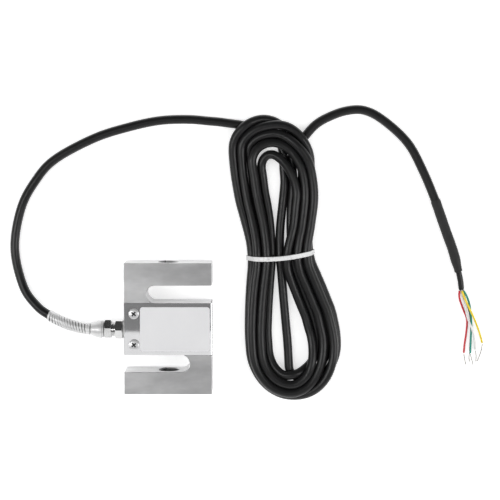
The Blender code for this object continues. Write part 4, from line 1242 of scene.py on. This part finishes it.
def makeGuardTree():
    # flat wire wound on a spiral, each point moved onto the cable's route, with turns that lean
    inputs = [("Geometry", "Geometry", None), ("Turns", "Float", 15.0), ("Pitch", "Float", 0.0016)]
    inputs += [("Radius", "Float", 0.003), ("Wire Width", "Float", 0.001)]
    inputs += [("Wire Thickness", "Float", 0.0004), ("Lean", "Float", 0.6), ("Rise", "Float", 1.4)]
    inputs += [("Gap", "Float", 0.0003), ("Material", "Material", None)]
    tree, start, ends = newTree("leaningSpring", inputs)
    out = start.outputs

    def calc(operation, *values):
        return addNode(tree, "ShaderNodeMath", dict(enumerate(values)), operation=operation).outputs[0]

    def vector(operation, *values):
        node = addNode(tree, "ShaderNodeVectorMath", dict(enumerate(values)), operation=operation)
        return node.outputs["Vector"]

    def scaled(value, factor):
        node = addNode(tree, "ShaderNodeVectorMath", {0: value, "Scale": factor}, operation="SCALE")
        return node.outputs["Vector"]

    height = calc("MULTIPLY", out["Turns"], out["Pitch"])
    wound = {"Resolution": 36, "Rotations": out["Turns"], "Height": height}
    wound |= {"Start Radius": out["Radius"], "End Radius": out["Radius"]}
    spiral = addNode(tree, "GeometryNodeCurveSpiral", wound)
    position = addNode(tree, "GeometryNodeInputPosition").outputs[0]
    spot = addNode(tree, "ShaderNodeSeparateXYZ", {0: position}).outputs
    along = calc("ADD", spot["Z"], calc("MULTIPLY", out["Wire Width"], 0.5))
    length = calc("ADD", height, out["Wire Width"])
    share = calc("POWER", calc("DIVIDE", along, length), out["Rise"])
    lean = calc("MULTIPLY", calc("TANGENT", out["Lean"]), calc("SINE", calc("MULTIPLY", share, math.pi)))
    leaning = calc("MAXIMUM", 0.0, calc("ADD", along, calc("MULTIPLY", lean, spot["X"])))
    reach = {"Curves": out["Geometry"], "Length": calc("ADD", out["Gap"], leaning)}
    read = addNode(tree, "GeometryNodeSampleCurve", reach, mode="LENGTH")
    tangent = read.outputs["Tangent"]
    side = vector("NORMALIZE", vector("CROSS_PRODUCT", tangent, (0.0, 0.0, 1.0)))
    up = vector("NORMALIZE", vector("CROSS_PRODUCT", side, tangent))
    radial = vector("ADD", scaled(side, spot["X"]), scaled(up, spot["Y"]))
    kept = addNode(tree, "GeometryNodeCaptureAttribute", {"Geometry": spiral.outputs[0]})
    kept.capture_items.new("VECTOR", "Radial")
    tree.links.new(radial, kept.inputs["Radial"])
    bent = {"Geometry": kept.outputs[0], "Position": vector("ADD", read.outputs["Position"], radial)}
    moved = addNode(tree, "GeometryNodeSetPosition", bent)
    outward = {"Curve": moved.outputs[0], "Normal": vector("NORMALIZE", kept.outputs["Radial"])}
    facing = addNode(tree, "GeometryNodeSetCurveNormal", outward, mode="FREE")
    flat = {"Width": out["Wire Thickness"], "Height": out["Wire Width"]}
    section = addNode(tree, "GeometryNodeCurvePrimitiveQuadrilateral", flat, mode="RECTANGLE")
    corner = calc("MULTIPLY", out["Wire Thickness"], 0.3)
    softened = {"Curve": section.outputs[0], "Radius": corner, "Count": 2}
    rounded = addNode(tree, "GeometryNodeFilletCurve", softened, mode="POLY")
    swept = {"Curve": facing.outputs[0], "Profile Curve": rounded.outputs[0], "Fill Caps": True}
    wire = addNode(tree, "GeometryNodeCurveToMesh", swept)
    endTree(tree, ends, wire.outputs[0], out["Material"])
    return tree


def makeGuard():
    width, thickness = guard["wire"]
    inner = cable["radius"] + gap
    values = {"Turns": float(guard["turns"]), "Pitch": guard["pitch"], "Radius": inner + thickness / 2}
    values |= {"Wire Width": width, "Wire Thickness": thickness, "Lean": guard["lean"]}
    values |= {"Rise": guard["rise"], "Gap": gap, "Material": finishes["spring_steel"]}
    mesh = runTree(makeGuardTree(), values, curveObject(smoothRoute(leadRoute, guard["routeStep"])))
    # the closed turn that rests against the ferrule
    near, outer, edge = noseX - 2 * gap, inner + thickness, guard["turnEdge"]
    turn = [(near, inner), (near, outer - edge), (near - edge, outer), (near - width + edge, outer)]
    turn += [(near - width, outer - edge), (near - width, inner)]
    joined = bmesh.new()
    joined.from_mesh(mesh)
    joined.from_mesh(ringMesh(turn, "closed_turn"))
    return addPiece("guard_spring", finishMesh(joined, "guard_spring"), "spring_steel", ["spring_guard"])


guardPiece = makeGuard()
print("spring guard made")

# the band round the hank

tie = {
    "centre": (65.2 * mm, 41.3 * mm),
    "turn": 5.5,  # degrees
    "halfReach": 30 * mm,  # strands are looked for this far to each side
    "sag": 1.5 * mm,  # how far its middle lies below its ends in the picture's plane
    "sagWidth": 18.5 * mm,
    "width": 2.6 * mm,
    "thickness": 0.85 * mm,
    "strandGap": 0.08 * mm,
    "edge": 0.2 * mm,
    "edgeCut": 0.3,  # share of the edge that its middle facet leaves
    "groove": 0.16 * mm,
    "grooveWidth": (0.5, 0.56),  # its floor and its mouth, as shares of the band's width
    "ridgePitch": 0.9 * mm,
    "ridgeDepth": 0.14 * mm,
    "ridgeSteps": 3,  # rings for each ridge
}
freeEnd = {
    "span": (-7 * mm, 5.5 * mm),  # where it lies on the band, from the band's centre
    "thickness": 0.75 * mm,
    "gap": 0.1 * mm,
    "inset": 0.12 * mm,  # how much narrower it is than the band, on each side
    "edge": (0.2 * mm, 0.15 * mm),  # across and up
    "ringStep": 0.15 * mm,
    "smoothAngle": 50,
}


def strandsAtWaist():
    # where the cable passes the band's plane: (across, up)
    turn = math.radians(tie["turn"])
    flat = cablePath[:, :2] - np.array(tie["centre"])
    out = flat @ np.array([-math.sin(turn), math.cos(turn)])
    side = flat @ np.array([math.cos(turn), math.sin(turn)])
    spots = []
    for k in range(len(cablePath) - 1):
        if out[k] * out[k + 1] <= 0 and abs(side[k]) < tie["halfReach"]:
            share = out[k] / (out[k] - out[k + 1])
            spots.append(tuple(v[k] + share * (v[k + 1] - v[k]) for v in (side, cablePath[:, 2])))
    return spots


def leftTurn(a, b, c):
    # over 0 where the way from a to b bends left towards c
    return (b[0] - a[0]) * (c[1] - a[1]) - (b[1] - a[1]) * (c[0] - a[0])


def wrapAround(spots, radius, steps=40):
    # the tight outline round circles at those spots
    turns = [2 * math.pi * k / steps for k in range(steps)]
    points = sorted((x + radius * math.cos(a), z + radius * math.sin(a)) for x, z in spots for a in turns)

    def halfHull(ordered):
        hull = []
        for p in ordered:
            while len(hull) > 1 and leftTurn(hull[-2], hull[-1], p) <= 0:
                hull.pop()
            hull.append(p)
        return hull[:-1]

    return halfHull(points) + halfHull(points[::-1])


def evenLoop(loop, spacing):
    closed = np.array([(x, 0.0, z) for x, z in loop + loop[:1]])
    return evenSteps(closed, spacing)[:-1][:, [0, 2]]


def tiePoint(across, up, along):
    # a point across the hank, up from the floor and along the strands
    turn = math.radians(tie["turn"])
    x, y = tie["centre"]
    along -= tie["sag"] * (1 - (across / tie["sagWidth"]) ** 2)
    cosine, sine = math.cos(turn), math.sin(turn)
    return (x + across * cosine - along * sine, y + across * sine + along * cosine, up)


def tieRing(here, before, after, side, section):
    # the section, (out, along), set square to the way from before to after
    forward = np.array(after) - np.array(before)
    forward /= np.linalg.norm(forward)
    outward = side * np.array([forward[1], -forward[0]])
    return [tiePoint(*(here + outward * out), along) for out, along in section]


def bandRings(loop):
    # the band's section carried round the loop: rounded rims beside a sunk, ridged middle
    h, r, top = tie["width"] / 2, tie["edge"], tie["thickness"]
    cut, (floorShare, mouthShare) = tie["edgeCut"] * r, tie["grooveWidth"]
    count = len(loop)
    rings = []
    for k in range(count):
        sunk = top - tie["groove"] - (tie["ridgeDepth"] if k % tie["ridgeSteps"] == 0 else 0)
        rim = [(sunk, floorShare * h), (top, mouthShare * h), (top, h - r), (top - cut, h - cut)]
        rim += [(top - r, h), (0, h)]
        section = [(out, -along) for out, along in rim[::-1]] + rim
        rings.append(tieRing(loop[k], loop[k - 1], loop[(k + 1) % count], 1, section))
    return rings


def freeEndRings(spots):
    # the free end lies along the top, with the fine ridges of its underside showing at the edges
    radius = cable["radius"] + freeEnd["gap"] + tie["thickness"]
    loop = evenLoop(wrapAround(spots, radius), freeEnd["ringStep"])
    low, high = freeEnd["span"]
    top = sorted([p for p in loop if p[1] > np.mean(loop[:, 1]) and low < p[0] < high], key=lambda p: p[0])
    h, (edge, drop) = tie["width"] / 2 - freeEnd["inset"], freeEnd["edge"]
    rings = []
    for k, here in enumerate(top):
        ridge = tie["ridgeDepth"] * (0.5 + 0.5 * math.cos(2 * math.pi * here[0] / tie["ridgePitch"]))
        t = freeEnd["thickness"] - ridge
        section = [(0, -h), (t - drop, -h), (t, -h + edge), (t, h - edge), (t - drop, h), (0, h)]
        rings.append(tieRing(here, top[max(0, k - 1)], top[min(len(top) - 1, k + 1)], -1, section))
    return rings


def makeTie():
    spots = strandsAtWaist()
    outline = wrapAround(spots, cable["radius"] + tie["strandGap"])
    loop = evenLoop(outline, tie["ridgePitch"] / tie["ridgeSteps"])
    band =meshFromRings(bandRings(loop), "band", closed=True, capped=False)
    end = meshFromRings(freeEndRings(spots), "free_end", smoothAngle=freeEnd["smoothAngle"])
    return [addPiece("tie_band", band, "tie_nylon", ["hank_tie"]), addPiece("tie_free_end", end, "tie_nylon")]


tiePieces = makeTie()
print("band made")

# sleeve, sheath, wires and tips

sleeve = {
    "radius": 2.9 * mm,
    "start": 2.66 * mm,  # where it closes on the cable
    "startShare": 0.008,  # share of its length over which it widens
    "end": 2.35 * mm,
    "endAt": 0.9,  # share of its length from which it narrows
    "endShare": 0.02,
    "ripple": 0.03 * mm,
    "rippleRates": (41, 17),
    "ringStep": 0.6 * mm,
    "sides": 32,
}
sheath = {
    "radius": 1.7 * mm,
    "endDrop": 0.25 * mm,
    "endShare": 0.05,
    "ringStep": 0.6 * mm,
    "sides": 24,
}
core = {"radius": 0.58 * mm, "lift": 0.05 * mm, "ringStep": 0.5 * mm, "sides": 14}
bareTip = {"radius": 0.3 * mm, "strands": 6, "twists": 2.5, "ringStep": 0.35 * mm, "sides": 6}
wireZ = core["radius"] + core["lift"]
wireOver = wireZ + 2 * core["radius"] + gap
wireTop = wireOver + 2 * core["radius"] + gap
sleeveRoute = [
    (0.1555, 0.0734, sleeveZ),
    (0.1620, 0.0552, sleeveZ),
    (0.1663, 0.0435, sleeveZ),
    (0.1697, 0.0314, sleeveZ),
]
sheathRoute = [(0.16978, 0.0310, sleeveZ), (0.1709, 0.0259, 0.0027), (0.1716, 0.0205, 0.0025)]
wireRoutes = {
    "red": [
        (0.1704, 0.0200, 0.0030),
        (0.1703, 0.0176, 0.0025),
        (0.1710, 0.0144, 0.0011),
        (0.1735, 0.0078, wireZ),
        (0.1750, 0.0042, wireZ),
        (0.1755, 0.0005, wireZ),
        (0.1750, -0.0060, wireZ),
        (0.1742, -0.0120, wireZ),
        (0.1738, -0.0172, wireZ),
    ],
    "yellow": [
        (0.1717, 0.0200, 0.00385),
        (0.1733, 0.0160, wireTop),
        (0.1760, 0.0102, wireTop),
        (0.1792, 0.0036, wireTop - 0.0006),
        (0.1824, -0.0041, 0.0015),
        (0.1846, -0.0113, wireZ),
    ],
    "green": [
        (0.1729, 0.0200, 0.0029),
        (0.1749, 0.0165, 0.0023),
        (0.1765, 0.0120, wireOver),
        (0.1773, 0.0066, wireOver),
        (0.1779, -0.0005, wireOver),
        (0.1777, -0.0053, wireOver),
        (0.1776, -0.0095, wireOver),
        (0.1774, -0.0172, wireOver),
    ],
    "white": [
        (0.1710, 0.0200, 0.0016),
        (0.1719, 0.0173, 0.0017),
        (0.1729, 0.0142, 0.0022),
        (0.1744, 0.0085, wireOver),
        (0.1754, 0.0042, wireOver + 0.0002),
        (0.1766, 0.0008, wireTop),
        (0.1781, -0.0030, wireTop),
        (0.1796, -0.0082, 0.0018),
        (0.1806, -0.0153, wireZ),
    ],
    "black": [
        (0.17245, 0.0200, 0.0016),
        (0.1741, 0.0150, 0.0008),
        (0.1762, 0.0095, wireZ),
        (0.1773, 0.0050, wireZ),
        (0.1779, -0.0010, wireZ),
        (0.1777, -0.0100, wireZ),
        (0.1775, -0.0160, wireZ),
    ],
}
tipRoutes = {
    "red": [(0.1738, -0.0178, wireZ), (0.1744, -0.0212, wireZ), (0.1752, -0.0244, wireZ)],
    "yellow": [(0.1847, -0.0119, wireZ), (0.1840, -0.0160, wireZ), (0.1819, -0.0222, wireZ)],
    "green": [(0.1774, -0.0178, wireOver), (0.1785, -0.0212, 0.0013), (0.1793, -0.0244, wireZ)],
    "white": [(0.1807, -0.0159, wireZ), (0.1811, -0.0190, wireZ), (0.1810, -0.0225, wireZ)],
    "black": [(0.1775, -0.0166, wireZ), (0.1769, -0.0195, wireZ), (0.1772, -0.0226, wireZ)],
}


def tubeRings(line, radii, sides):
    # rings square to a line that runs mostly level
    forward = np.gradient(line, axis=0)
    forward /= np.linalg.norm(forward, axis=1)[:, None]
    side = np.cross(forward, (0.0, 0.0, 1.0))
    side /= np.linalg.norm(side, axis=1)[:, None]
    up = np.cross(side, forward)
    turns = [2 * math.pi * k / sides for k in range(sides)]
    rings = []
    for p, r, s, u in zip(line, radii, side, up):
        rings.append([tuple(p + r * (math.cos(a) * s + math.sin(a) * u)) for a in turns])
    return rings


def makeSleeve():
    line = smoothRoute(sleeveRoute, sleeve["ringStep"])
    full, share = sleeve["radius"], np.linspace(0, 1, len(line))
    # it steps up over the cable's end and narrows at both ends
    radii = full - (full - sleeve["start"]) * np.exp(-share / sleeve["startShare"])
    radii -= (full - sleeve["end"]) / (1 + np.exp((sleeve["endAt"] - share) / sleeve["endShare"]))
    first, second = sleeve["rippleRates"]
    radii += sleeve["ripple"] * np.sin(share * first) * np.sin(share * second)
    mesh = meshFromRings(tubeRings(line, radii, sleeve["sides"]), "sleeve")
    return addPiece("shrink_sleeve", mesh, "heat_shrink", ["heat_shrink_sleeve"])


def makeSheath():
    line = smoothRoute(sheathRoute, sheath["ringStep"])
    share = np.linspace(0, 1, len(line))
    radii = sheath["radius"] - sheath["endDrop"] * np.exp((share - 1) / sheath["endShare"])
    mesh = meshFromRings(tubeRings(line, radii, sheath["sides"]), "sheath")
    return addPiece("sheath", mesh, "cable_jacket", ["inner_sheath"])


def makeWires():
    pieces = []
    for colour, route in wireRoutes.items():
        finish = f"insulation_{colour}"
        values = {"Radius": core["radius"], "Sides": core["sides"], "Material": finishes[finish]}
        mesh = runTree(sweepTree, values, curveObject(smoothRoute(route, core["ringStep"])))
        pieces.append(addPiece(f"core_{colour}", mesh, finish, [f"wire_{colour}"]))
    return pieces


def makeTips():
    # each tip is a bundle of fine strands twisted round a middle one
    strand, count = bareTip["radius"] / 3, bareTip["strands"]
    pieces = []
    for colour, route in tipRoutes.items():
        line = smoothRoute(route, bareTip["ringStep"])
        share = np.linspace(0, 1, len(line))
        side = np.cross(np.gradient(line, axis=0), (0.0, 0.0, 1.0))
        side /= np.linalg.norm(side, axis=1)[:, None]
        bundle = bmesh.new()
        for k in range(count + 1):
            offset = 0 if k == 0 else 2 * strand
            angle = 2 * math.pi * (k / count + bareTip["twists"] * share)
            away = np.cos(angle)[:, None] * side + np.sin(angle)[:, None] * np.array([0, 0, 1.0])
            radii = [strand] * len(line)
            part = meshFromRings(tubeRings(line + offset * away, radii, bareTip["sides"]), "strand")
            bundle.from_mesh(part)
            bpy.data.meshes.remove(part)
        mesh = bpy.data.meshes.new("tip")
        bundle.to_mesh(mesh)
        bundle.free()
        mesh.shade_smooth()
        pieces.append(addPiece(f"strands_{colour}", mesh, "tinned_copper", [f"wire_tip_{colour}"]))
    return pieces


sleevePieces = [makeSleeve(), makeSheath()]
wirePieces = makeWires()
tipPieces = makeTips()
print("sleeve, wires and tips made")

# what stays as the solids have it

nodeSlots = {
    "gland_grommet": "seal_rubber",
    "cable_gland_run": "cable_jacket",
    "terminal_board": "board_resin",
    "core_bundle": "core_film",
}
nodeSlots |= {f"strain_gauge_{k}": "gauge_film" for k in (1, 2, 3, 4)}
nodeSlots |= {f"gauge_lead_{k}": "lead_copper" for k in (1, 2, 3, 4)}
for node, slot in nodeSlots.items():
    dressNode(node, slot)

onCable = [*glandPieces, guardPiece, *tiePieces, *sleevePieces, *wirePieces, *tipPieces]
onCable += [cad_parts[name] for name in ("gland_grommet", "cable_gland_run")]
